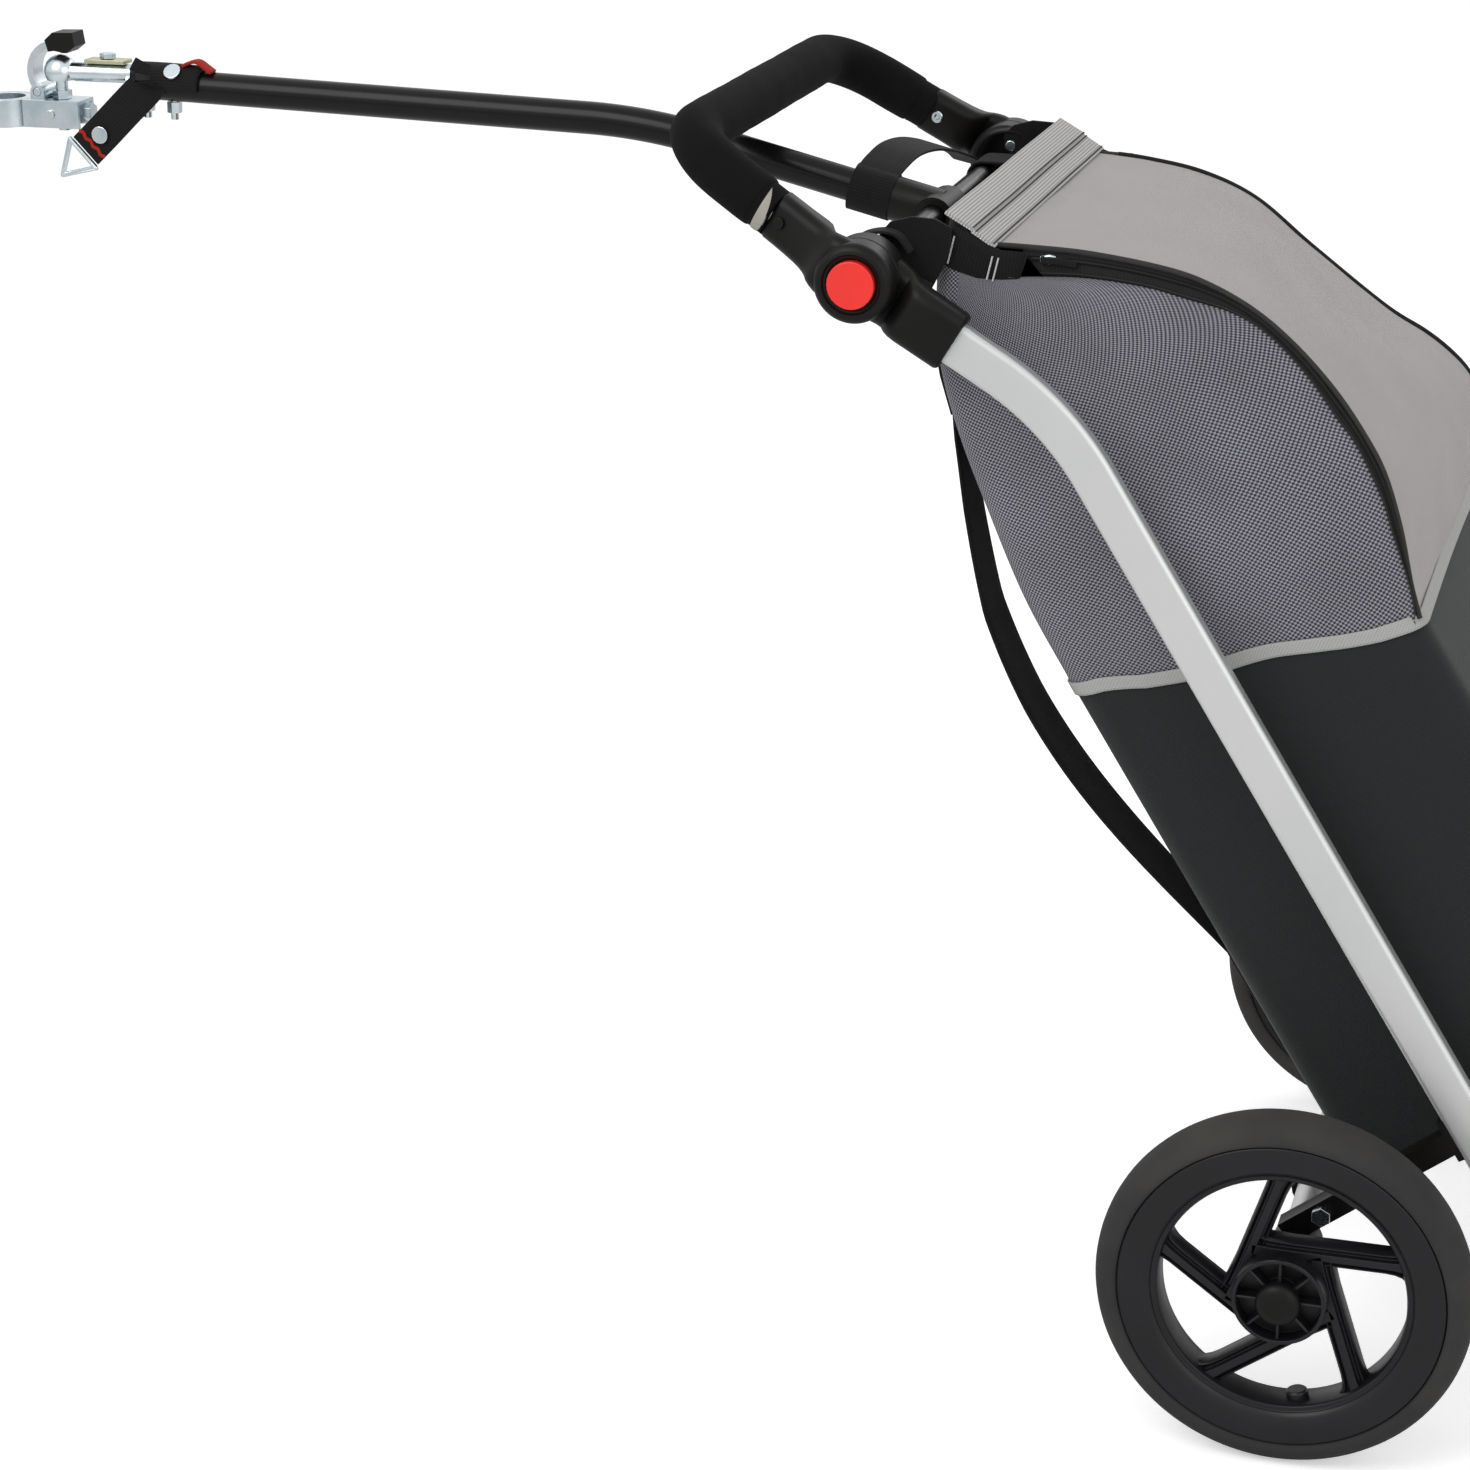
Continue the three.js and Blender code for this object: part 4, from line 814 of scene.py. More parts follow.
class Palette:
    """Every finish of the trailer, built when a piece first asks for it.

    After the name, the slot and the two colours a cloth has its thread's width, mottling,
    roughness, relief and sheen; a webbing its rib's width and roughness; a hard finish its share
    and scale of dust, roughness and its spread, metal, coat, grain, relief, depth and specular.
    """

    LIST: tuple[Finish, ...] = (
        ClothFinish("lid_cloth", "grey_cloth", (206, 202, 200), (148, 144, 144), 0.0009, 0.10, 0.9, 0.3, 0.1),
        # the side cloth's strong mottling (0.42) is partly random tone and partly painted shade of its folds
        ClothFinish("side_cloth", "grey_cloth", (168, 167, 176), (60, 60, 69), 0.00145, 0.42, 0.85, 0.3, 0.08),
        ClothFinish("lower_cloth", "black_cloth", (36, 39, 40), (24, 27, 28), 0.0010, 0.15, 0.8, 0.25, 0.1),
        ClothFinish("reflective_band", "grey_cloth", (186, 187, 184), (168, 169, 167),
                    0.0012, 0.1, 0.55, 0.2, 0.0),
        ClothFinish("zip_tape", "black_cloth", (30, 28, 27), (16, 15, 15), 0.0012, 0.1, 0.8, 0.3, 0.05),
        WebbingFinish("black_webbing", "webbing", (12, 11, 11), (28, 27, 27), 0.0022, 0.75),
        WebbingFinish("grey_webbing", "grey_cloth", (96, 95, 97), (206, 204, 203), 0.0021, 0.8),
        WebbingFinish("red_trim", "webbing", (120, 24, 16), (176, 44, 30), 0.0018, 0.7),
        HardFinish("satin_alloy", "alloy", (206, 207, 206), (190, 192, 194),
                   0.3, 6.0, 0.42, 0.1, 0.75, 0.0, 700.0, 0.05, 0.00005),
        HardFinish("zinc_steel", "zinc_steel", (208, 216, 220), (150, 176, 186),
                   0.55, 45.0, 0.26, 0.25, 1.0, 0.0, 500.0, 0.08),
        HardFinish("olive_steel", "olive_steel", (190, 190, 160), (150, 150, 110), 0.4, 60.0, 0.35, 0.2, 0.9),
        HardFinish("gloss_black_tube", "black_tube", (12, 12, 12), (26, 25, 23),
                   0.2, 10.0, 0.26, 0.12, 0.0, 0.04, 260.0, 0.05, 0.0002, 0.18),
        HardFinish("black_plastic", "black_plastic", (16, 15, 14), (32, 30, 28),
                   0.3, 16.0, 0.4, 0.15, 0.0, 0.0, 1400.0, 0.25, 0.00012, 0.16),
        HardFinish("wheel_plastic", "black_plastic", (18, 18, 21), (34, 34, 38),
                   0.3, 14.0, 0.36, 0.2, 0.0, 0.0, 1200.0, 0.15, 0.0001, 0.3),
        HardFinish("grey_plastic", "grey_plastic", (120, 121, 124), (140, 140, 142), 0.2, 20.0, 0.55, 0.1),
        HardFinish("grip_foam", "black_foam", (14, 13, 13), (27, 25, 24),
                   0.4, 18.0, 0.88, 0.1, 0.0, 0.0, 1100.0, 0.8, 0.0005, 0.1),
        HardFinish("dull_ring", "alloy", (158, 156, 147), (140, 137, 128),
                   0.3, 60.0, 0.6, 0.1, 0.0, 0.0, 900.0, 0.2, 0.0001, 0.2),
        HardFinish("tyre_rubber", "tyre_rubber", (48, 48, 49), (84, 79, 72),
                   0.5, 9.0, 0.8, 0.1, 0.0, 0.0, 500.0, 0.35, 0.0003, 0.22),
        HardFinish("red_plastic", "red_plastic", (236, 40, 30), (208, 34, 26),
                   0.25, 40.0, 0.36, 0.08, 0.0, 0.08, 1500.0, 0.05, 0.00005),
        HardFinish("dark_thread", "black_cloth", (40, 38, 38), (60, 58, 58), 0.2, 200.0, 0.9, 0.05),
    )

    def __init__(self) -> None:
        """Starts with no material built."""
        self._finishes = {finish.name: finish for finish in self.LIST}
        self._built: dict[str, bpy.types.Material] = {}

    def dress(self, piece: bpy.types.Object, name: str) -> None:
        """Gives a piece a finish, in its only material place.

        Args:
            piece: a mesh object.
            name: the finish's name.
        """
        finish = self._finishes[name]
        if name not in self._built:
            self._built[name] = finish.build()
        piece.data.materials.clear()
        piece.data.materials.append(self._built[name])


PALETTE = Palette()


def settle(piece: bpy.types.Object, body: Body, finish: str, *nodes: str) -> bpy.types.Object:
    """Dresses a new piece, makes it ride on a body and hides the CAD nodes it stands for.

    Args:
        piece: the new piece.
        body: the body it moves with.
        finish: the finish's name.
        nodes: CAD nodes that it replaces.

    Returns:
        The piece.
    """
    PALETTE.dress(piece, finish)
    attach(piece, body.value)
    if nodes:
        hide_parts(*nodes)
    log.info("%s: %d faces on %s", piece.name, len(piece.data.polygons), body.value)
    return piece


def lay(surface: Surface, name: str, finish: str, *nodes: str, body: Body = Body.TRAILER,
        away: Optional[np.ndarray] = None, thick: float = 0.0) -> bpy.types.Object:
    """Makes a surface into a piece and settles it.

    Args:
        surface: the surface.
        name: the piece's name.
        finish: the finish's name.
        nodes: CAD nodes that it replaces.
        body: the body it moves with.
        away: for a sheet of cloth, the place that it looks away from.
        thick: the sheet's thickness, inward.

    Returns:
        The piece.
    """
    piece = surface.make(name, away)
    if thick:
        solid = piece.modifiers.new("cloth_thickness", "SOLIDIFY")
        solid.thickness = thick * MM
        solid.offset = -1.0
    return settle(piece, body, finish, *nodes)


def bevelled(piece: bpy.types.Object, width: float, steps: int = 2, sharp: float = COPY_SHARP) -> None:
    """Rounds a piece's edges sharper than an angle, by a width in millimetres and in steps.

    Args:
        piece: the piece.
        width: the bevel's width.
        steps: its segments.
        sharp: the least edge angle in degrees.
    """
    bevel = piece.modifiers.new("round_edges", "BEVEL")
    bevel.width = width * MM
    bevel.segments = steps
    bevel.limit_method = "ANGLE"
    bevel.angle_limit = math.radians(sharp)
    bevel.use_clamp_overlap = True
    bevel.harden_normals = True


def moulded_copy(node: str, body: Body, finish: str, width: float, steps: int = 2) -> bpy.types.Object:
    """A merged copy of a hard CAD node with rounded edges, which stands for the node.

    Args:
        node: the CAD node.
        body: the body it moves with.
        finish: the finish's name.
        width: the width of the rounded edges in millimetres.
        steps: the segments of each rounded edge.

    Returns:
        The new piece.
    """
    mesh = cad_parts[node].data.copy()
    work = welded(mesh)
    bmesh.ops.dissolve_limit(work, angle_limit=math.radians(FACET_ANGLE), verts=work.verts,
                             edges=work.edges)
    smoothed(mesh, work, COPY_SHARP)
    piece = linked(node + "_looks", mesh)
    bevelled(piece, width, steps)
    return settle(piece, body, finish, node)


def ribbon(path: np.ndarray, across: np.ndarray, wide: float, thick: float) -> Surface:
    """A strap: a flat profile with round edges carried along a path."""
    return sweep(path, rounded(wide, thick, thick * 0.45), across)


def moulded(*table: tuple[str, Body, str, float, int]) -> None:
    """Moulded copies of many nodes, given as (names, body, finish, edge width, edge steps).

    Args:
        table: one row for each kind, with spaces between its nodes' names.
    """
    for names, body, finish, width, steps in table:
        for name in names.split():
            moulded_copy(name, body, finish, width, steps)


@dataclass
class Wheel:
    """A wheel: a solid tyre on a moulded rim with five slanting spokes, a ribbed hub and a cap."""

    hand: Hand
    half_track: float = 276.0
    radius: float = 125.0
    rim_radius: float = 108.3
    rim_inner: float = 82.0
    spokes: int = 5
    spoke_start: float = math.radians(18.8)
    spoke_offset: float = 29.0
    spoke_reach: float = 99.0
    spoke_wide: float = 15.0
    spoke_overlap: float = 21.0
    hub_radius: float = 31.0
    hub_lip: float = 24.0
    hub_wall: float = 3.0
    hub_ribs: int = 8
    rib_middle: float = 17.2
    spoke_end: float = 10.6
    cap_radius: float = 15.0
    valve_angle: float = math.radians(-81.0)
    tyre_half: Pairs = ((108.6, 15.0), (108.7, 17.6), (109.5, 18.9), (111.2, 19.8), (113.5, 19.9),
                        (116.5, 19.0), (119.4, 17.0), (121.8, 14.0), (123.5, 10.4), (124.6, 6.2), (125.0, 2.0))

    def place(self, surface: Surface, node: str, ending: str, finish: str) -> bpy.types.Object:
        """Moves a surface from the wheel's own frame, with y outward, to its place and settles it.

        Args:
            surface: the surface.
            node: the CAD node's name without its side.
            ending: what the piece's name adds to the node's.
            finish: the finish's name.

        Returns:
            The piece.
        """
        sign, node = self.hand.value, node + self.hand.word
        surface.places = surface.places * [sign, sign, 1] + [0, sign * self.half_track, self.radius]
        return lay(surface, node + ending, finish, node, body=Body["WHEEL_" + self.hand.name])

    @staticmethod
    def spoke_way(angle: float) -> np.ndarray:
        """The unit direction at an angle in the wheel's plane."""
        return np.array([math.cos(angle), 0, math.sin(angle)])

    def spoke_section(self) -> np.ndarray:
        """The section of a spoke: a wide web with a narrow rib standing on both faces.

        Its upper half is a quarter and the quarter's mirror image; its lower half is the upper one
        turned half round.

        Returns:
            An array (20, 2).
        """
        wide, rib, web, face = self.spoke_wide / 2, 2.6, 5.6, 10.0
        quarter = np.array([(wide, web), (wide - 1.6, web + 2.4), (wide - 3.2, web), (rib, web), (rib, face)])
        upper = np.vstack([quarter, quarter[::-1] * [-1, 1]])
        return np.vstack([-upper, upper])

    def rim(self) -> Surface:
        """The rim with its spokes, hub ring, ribs and valve boss in one moulded piece.

        The ring and the hub are turned sections. A spoke is its section carried from a root on a
        small circle to a tip under the ring, and widened by the flare along it.

        Returns:
            The surface, in the wheel's own frame.
        """
        inner, outer = self.rim_inner, self.rim_radius
        rim = turned(mirrored([
            (inner, 10.5), (inner + 1.2, 12.6), (inner + 4.2, 13.0), (inner + 5.0, 14.6), (inner + 8.5, 16.4),
            (inner + 11.5, 17.2), (inner + 14.0, 17.8), (outer - 1.0, 18.6), (outer, 17.8)]), 120)
        section = self.spoke_section()
        flare = np.array([1.5, 1.12, 1.0, 1.0, 1.07, 1.28, 1.75, 2.3])
        shape = section[None] * np.stack([flare, np.ones(8)], -1)[:, None]
        for k in range(self.spokes):
            angle = self.spoke_start + 2 * math.pi * k / self.spokes
            root = self.spoke_offset * self.spoke_way(angle - math.acos(self.spoke_offset / self.spoke_reach))
            tip = (outer - self.spoke_end) * self.spoke_way(angle)
            run, long = unit(tip - root), float(np.linalg.norm(tip - root))
            along = np.array([-self.spoke_overlap, -9.0, 6.0, long - 27, long - 21, long - 16, long - 12, long])
            rim = rim + sweep(root + run * along[:, None], shape, np.cross(run, ACROSS))
        r, lip, wall = self.hub_radius, self.hub_lip, self.hub_wall
        rim = rim + turned([
            (6.3, -22), (17, -22), (17, -10), (r - 0.6, -10), (r, -9), (r, lip - 0.8), (r - 0.8, lip),
            (r - wall, lip), (r - wall, 12), (12, 12), (12, lip), (6.3, lip)], 72)
        for k in range(self.hub_ribs):
            out = self.spoke_way(2 * math.pi * k / self.hub_ribs)
            path = np.array([out * 10.5, out * (r - 1)]) + ACROSS * self.rib_middle
            rim = rim + sweep(path, rounded(2.2, 10.4, 0.8, 3), np.cross(out, ACROSS))
        valve = self.spoke_way(self.valve_angle) * [self.hand.value, 1, 1]
        reach = np.array([6.2, 7.4, 7.4])[:, None, None] * circle(1.0, 28)[None]
        rim = rim + sweep(np.array([valve * r for r in (76.0, 77.4, 86.0)]), reach)
        return rim + sweep(np.array([valve * 84.0, valve * 88.5]), rounded(17, 27, 1.4, 3))

    def cap(self) -> Surface:
        """The domed hub cap with a flat eye in its middle.

        Returns:
            The surface, in the wheel's own frame.
        """
        r = self.cap_radius
        return turned([(0.0, 24.3), (r, 24.3), (r, 26.2), (r * 0.965, 27.8), (r * 0.88, 29.5), (r * 0.74, 30.9),
                       (r * 0.56, 31.8), (r * 0.36, 32.2), (0.0, 32.3)], 56)

    def build(self) -> None:
        """Builds and dresses the wheel."""
        self.place(turned(mirrored(self.tyre_half), 144), "tyre_", "_rubber", "tyre_rubber")
        bevelled(self.place(self.rim(), "wheel_rim_", "_moulding", "wheel_plastic"), 0.7, 2, 40)
        self.place(self.cap(), "wheel_cap_", "_dome", "black_plastic")


@dataclass
class HubMould:
    """The two moulded halves of a handle hub: a round disc that flows into a bar.

    Bar rows are (run from the hub, half width, inner face, outer face), in millimetres,
    the faces measured from the middle of the trailer.
    """

    half_span: float = 219.0
    disc_radius: float = 26.0
    soft_edge: float = 6.5
    corner: float = 8.5
    arm_rows: Rows = (
        (15, 21.2, 220.2, 236.5), (20, 20.6, 220.0, 236.0), (24, 19.6, 219.6, 235.0), (27.5, 18.6, 218.0, 233.0),
        (30, 18.0, 211.0, 230.5), (33, 17.5, 204.0, 227.6), (37, 17.1, 200.9, 225.0), (42, 16.8, 199.5, 223.0),
        (50, 16.6, 197.8, 220.4), (60, 16.5, 195.4, 217.6), (67.6, 16.4, 193.8, 216.0), (69.2, 15.8, 194.4, 215.4),
        (70, 14.8, 195.4, 214.4))
    sleeve_rows: Rows = (
        (-15, 22.6, 199.0, 217.6), (-20, 22.2, 198.8, 217.9), (-24, 21.6, 198.8, 218.2), (-27.6, 21.2, 200, 219.5),
        (-31, 20.8, 203, 225.5), (-35, 20.5, 205.6, 229.2), (-40, 20.3, 206.8, 231), (-52, 20.2, 207, 231),
        (-70.4, 20.1, 207, 231), (-72.2, 19.4, 207.6, 230.4), (-73, 18.4, 208.6, 229.4))

    def bar(self, hand: Hand, rows: Rows) -> Surface:
        """A moulded bar with round corners, lofted through its rows.

        Each row is a rectangle with round corners, square to the run.

        Args:
            hand: the side.
            rows: the bar's rows.

        Returns:
            The closed surface.
        """
        places = []
        for run, half, inner, outer in rows:
            thick = outer - inner
            shape = rounded(thick, 2 * half, min(self.corner, thick / 2 - 0.3), 7)
            places.append(SIDE.handle(run, shape[:, 1], hand.value * ((inner + outer) / 2 + shape[:, 0])))
        return Surface.grid(np.array(places), round_v=True, ends=True)

    def disc(self, hand: Hand, profile: Pairs) -> Surface:
        """A disc turned about the hub's axis, with its heights outward."""
        return turned(profile, 72, SIDE.handle(0, 0, hand.value * self.half_span), hand.value * ACROSS)

    def arm(self, hand: Hand) -> Surface:
        """The moving half: a disc with a soft edge and the button's pocket, and the arm.

        Args:
            hand: the side.

        Returns:
            The disc and the bar.
        """
        r, face, pocket, soft = self.disc_radius, 21.0, 16.0, self.soft_edge
        edge = [(r - soft + soft * math.cos(a), face - soft + soft * math.sin(a))
                for a in np.linspace(0, np.pi / 2, 7)]
        return self.disc(hand, [(0.0, 0.4), (r - 0.8, 0.4), (r, 1.2)] + edge + [
            (pocket + 2.4, face - 1.5), (pocket + 0.8, face - 1.7), (pocket, face - 2.4), (pocket, face - 19.0),
            (0.0, face - 19.0)]) + self.bar(hand, self.arm_rows)

    def sleeve(self, hand: Hand) -> Surface:
        """The fixed half: the inner disc, and the sleeve round the side tube.

        Args:
            hand: the side.

        Returns:
            The disc and the bar.
        """
        return self.disc(hand, [
            (0.0, -22.0), (21.5, -22.0), (24.4, -21.0), (25.8, -19.0), (26.0, -16.5), (26.0, -0.9),
            (25.4, -0.4), (0.0, -0.4)]) + self.bar(hand, self.sleeve_rows)


@dataclass
class Undercarriage:
    """The axle, its brackets, the deck bar, the side tubes, their feet and the hub sleeves."""

    half_span: float = 219.0
    tube_deep: float = 28.0
    tube_thick: float = 14.0
    tube_corner: float = 4.2
    foot_drop: float = 122.0
    foot_cover: float = 0.8
    clasp_in: float = 1.6
    bend_radius: float = 200.0
    socket_run: float = 32.0
    top_radius: float = 9.0

    def section(self, cover: float = 0.0) -> np.ndarray:
        """The section of a side tube, flat with small round edges, or of a cover on it."""
        return rounded(self.tube_thick + 2 * cover, self.tube_deep + 2 * cover,
                       self.tube_corner + 0.75 * cover, 7)

    def side_tube(self, hand: Hand) -> Surface:
        """One side tube, straight and then bent.

        Args:
            hand: the side.

        Returns:
            The closed surface.
        """
        y = hand.value * self.half_span
        corners = [SIDE.at(-self.foot_drop, 0, y), SIDE.at(SIDE.bend_rise, 0, y),
                   SIDE.handle(-self.socket_run, 0, y)]
        return sweep(rounded_route(corners, self.bend_radius, 5.0), self.section())

    def foot(self, hand: Hand) -> Surface:
        """The thin cap on a side tube's lower end."""
        path = SIDE.at(np.array([-125.0, -124.2, -122.6, -117.0]), 0, hand.value * self.half_span)
        return sweep(path, self.section(self.foot_cover) * np.array([0.86, 0.95, 1.0, 1.0])[:, None, None])

    def open_clasp(self, bracket: bpy.types.Object) -> None:
        """Draws a bracket's outer wall in behind the tube's outer face, so that the bare tube shows.

        Args:
            bracket: the bracket's piece.
        """
        mesh = bracket.data
        places = np.zeros(len(mesh.vertices) * 3, np.float32)
        mesh.vertices.foreach_get("co", places)
        world = (places.reshape(-1, 3) - ORIGIN) / MM
        rise, ahead = (world - SIDE.base) @ SIDE.up, (world - SIDE.base) @ SIDE.fore
        limit = self.half_span + self.tube_thick / 2 - self.clasp_in
        outer = (np.abs(world[:, 1]) > limit) & (np.abs(ahead) < self.tube_deep) & (rise > -30)
        world[outer, 1] = np.sign(world[outer, 1]) * limit
        mesh.vertices.foreach_set("co", (world * MM + ORIGIN).astype(np.float32).ravel())
        mesh.update()

    def build(self) -> None:
        """Builds and dresses every piece."""
        for hand in Hand:
            word = hand.word
            lay(self.side_tube(hand), f"side_tube_{word}_drawn", "satin_alloy", "side_tube_" + word)
            lay(self.foot(hand), f"foot_{word}_cap", "grey_plastic", "foot_" + word)
            self.open_clasp(moulded_copy("axle_bracket_" + word, Body.TRAILER, "black_plastic", 1.6, 3))
            lay(HubMould().sleeve(hand), f"sleeve_{word}_moulding", "black_plastic", "sleeve_" + word)
        moulded(("axle_bracket_bolt_left axle_bracket_bolt_right", Body.TRAILER, "zinc_steel", 0.5, 2),
                ("lock_pin_left lock_pin_right", Body.TRAILER, "zinc_steel", 0.8, 2),
                ("axle", Body.TRAILER, "satin_alloy", 0.8, 2),
                ("deck_bar", Body.TRAILER, "gloss_black_tube", 0.5, 2))
        low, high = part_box("top_tube")
        half = (high.y - low.y) / 2 / MM
        bar = sweep(np.array([SIDE.hub - ACROSS * half, SIDE.hub + ACROSS * half]),
                    circle(self.top_radius, 40), np.array([1.0, 0.0, 0.0]))
        lay(bar, "top_tube_drawn", "gloss_black_tube", "top_tube")


@dataclass
class Handle:
    """The folding handle: two moulded arms, a bent tube, a foam grip and the red buttons."""

    half_span: float = 219.0
    reach: float = 149.0
    narrowing: float = 31.0
    arm_length: float = 70.0
    arm_socket: float = 60.0
    tube_radius: float = 10.4
    bend_radius: float = 54.0
    grip_radius: float = 17.5
    bare_length: float = 9.0
    collar_radius: float = 16.2
    rivet_run: float = 59.0
    rivet_depth: float = 11.1

    def arm_point(self, run: float, side: int) -> np.ndarray:
        """A place on the centre line of an arm, which leans inward from its hub."""
        return SIDE.handle(run, 0, side * (self.half_span - self.narrowing * run / self.reach))

    def route(self, inset: float) -> np.ndarray:
        """The handle's centre line from one arm to the other, starting at a run along the arms.

        Args:
            inset: the run at which it starts and ends.

        Returns:
            An array of places.
        """
        corners = [self.arm_point(run, side) for run, side in
                   ((inset, -1), (self.reach, -1), (self.reach, 1), (inset, 1))]
        return rounded_route(corners, self.bend_radius, 4.0)

    def grip(self) -> Surface:
        """The foam grip: soft and thick, with its ends drawn in.

        Its radius is swell * grip radius, where swell falls by 7 % at the ends with the distance
        from them and waves a little along the length.

        Returns:
            The closed surface.
        """
        path = evenly(self.route(self.arm_length + self.bare_length), 3.0)
        length = travelled(path)
        near = np.minimum(length, length[-1] - length)
        swell = 1 - 0.07 * np.exp(-near / 1.6) + 0.006 * np.sin(length / 17.0) + 0.004 * np.sin(length / 6.1)
        return sweep(path, circle(self.grip_radius, 48)[None] * swell[:, None, None], SIDE.top_side)

    def collar(self, hand: Hand) -> Surface:
        """The foam's dark underlay between an arm and the grip."""
        path = [self.arm_point(self.arm_length + step, hand.value) for step in (-2.0, self.bare_length + 2.0)]
        return sweep(np.array(path), circle(self.collar_radius, 48), SIDE.top_side)

    def bare_tube(self, hand: Hand) -> bpy.types.Object:
        """The crescent of bare tube between an arm and the grip, on the outer side only.

        Round the collar, the crescent's width falls as 1 - (angle / 81 degrees) squared about its
        middle at -19 degrees, and its face is domed.

        Args:
            hand: the side.

        Returns:
            The piece.
        """
        centre = self.arm_point(self.arm_length + self.bare_length / 2, hand.value)
        run = unit(self.arm_point(self.reach, hand.value) - self.arm_point(0, hand.value))
        turn = np.radians(np.linspace(-100, 62, 30))
        wide = (self.bare_length - 0.8) * np.clip(1 - ((turn + math.radians(19)) / math.radians(81)) ** 2, 0.02, 1)
        way = np.cos(turn)[:, None] * hand.value * ACROSS + np.sin(turn)[:, None] * SIDE.top_side
        rows = [centre + way * (self.collar_radius + rise)
                + run * (self.bare_length / 2 - 0.3 - wide * (1 - share))[:, None]
                for share, rise in ((0.0, -0.6), (0.06, 0.5), (0.5, 0.7), (0.94, 0.5), (1.0, -0.6))]
        return lay(Surface.grid(np.array(rows)), "handle_bare_" + hand.word, "dull_ring", body=Body.HANDLE,
                   away=centre)

    def inner_rivet(self, hand: Hand) -> Surface:
        """The rivet's bright ring on an arm's inner face.

        Args:
            hand: the side.

        Returns:
            The closed surface.
        """
        profile = [(0.0, -0.6), (4.4, -0.6), (4.4, 0.5), (3.7, 1.1), (2.3, 1.1), (1.7, 0.2), (0.0, 0.2)]
        face = self.arm_point(self.rivet_run, hand.value) - hand.value * self.rivet_depth * ACROSS
        return turned(profile, 36, face, -hand.value * ACROSS)

    def build(self) -> None:
        """Builds and dresses every piece."""
        tube = sweep(self.route(self.arm_socket), circle(self.tube_radius, 36), SIDE.top_side)
        lay(tube, "handle_tube_bent", "satin_alloy", "handle_tube", body=Body.HANDLE)
        grip = lay(self.grip(), "handle_grip_foam", "grip_foam", "handle_grip", body=Body.HANDLE)
        bevelled(grip, 2.0, 3, 50)
        for hand in Hand:
            word = hand.word
            lay(HubMould().arm(hand), f"handle_arm_{word}_moulding", "black_plastic", "handle_arm_" + word,
                body=Body.HANDLE)
            lay(self.collar(hand), "handle_collar_" + word, "grip_foam", body=Body.HANDLE)
            self.bare_tube(hand)
            lay(self.inner_rivet(hand), "arm_rivet_ring_" + word, "zinc_steel", body=Body.HANDLE)
            moulded(("arm_rivet_" + word, Body.HANDLE, "black_plastic", 0.6, 2),
                    ("push_button_" + word, Body["BUTTON_" + hand.name], "red_plastic", 1.1, 3))


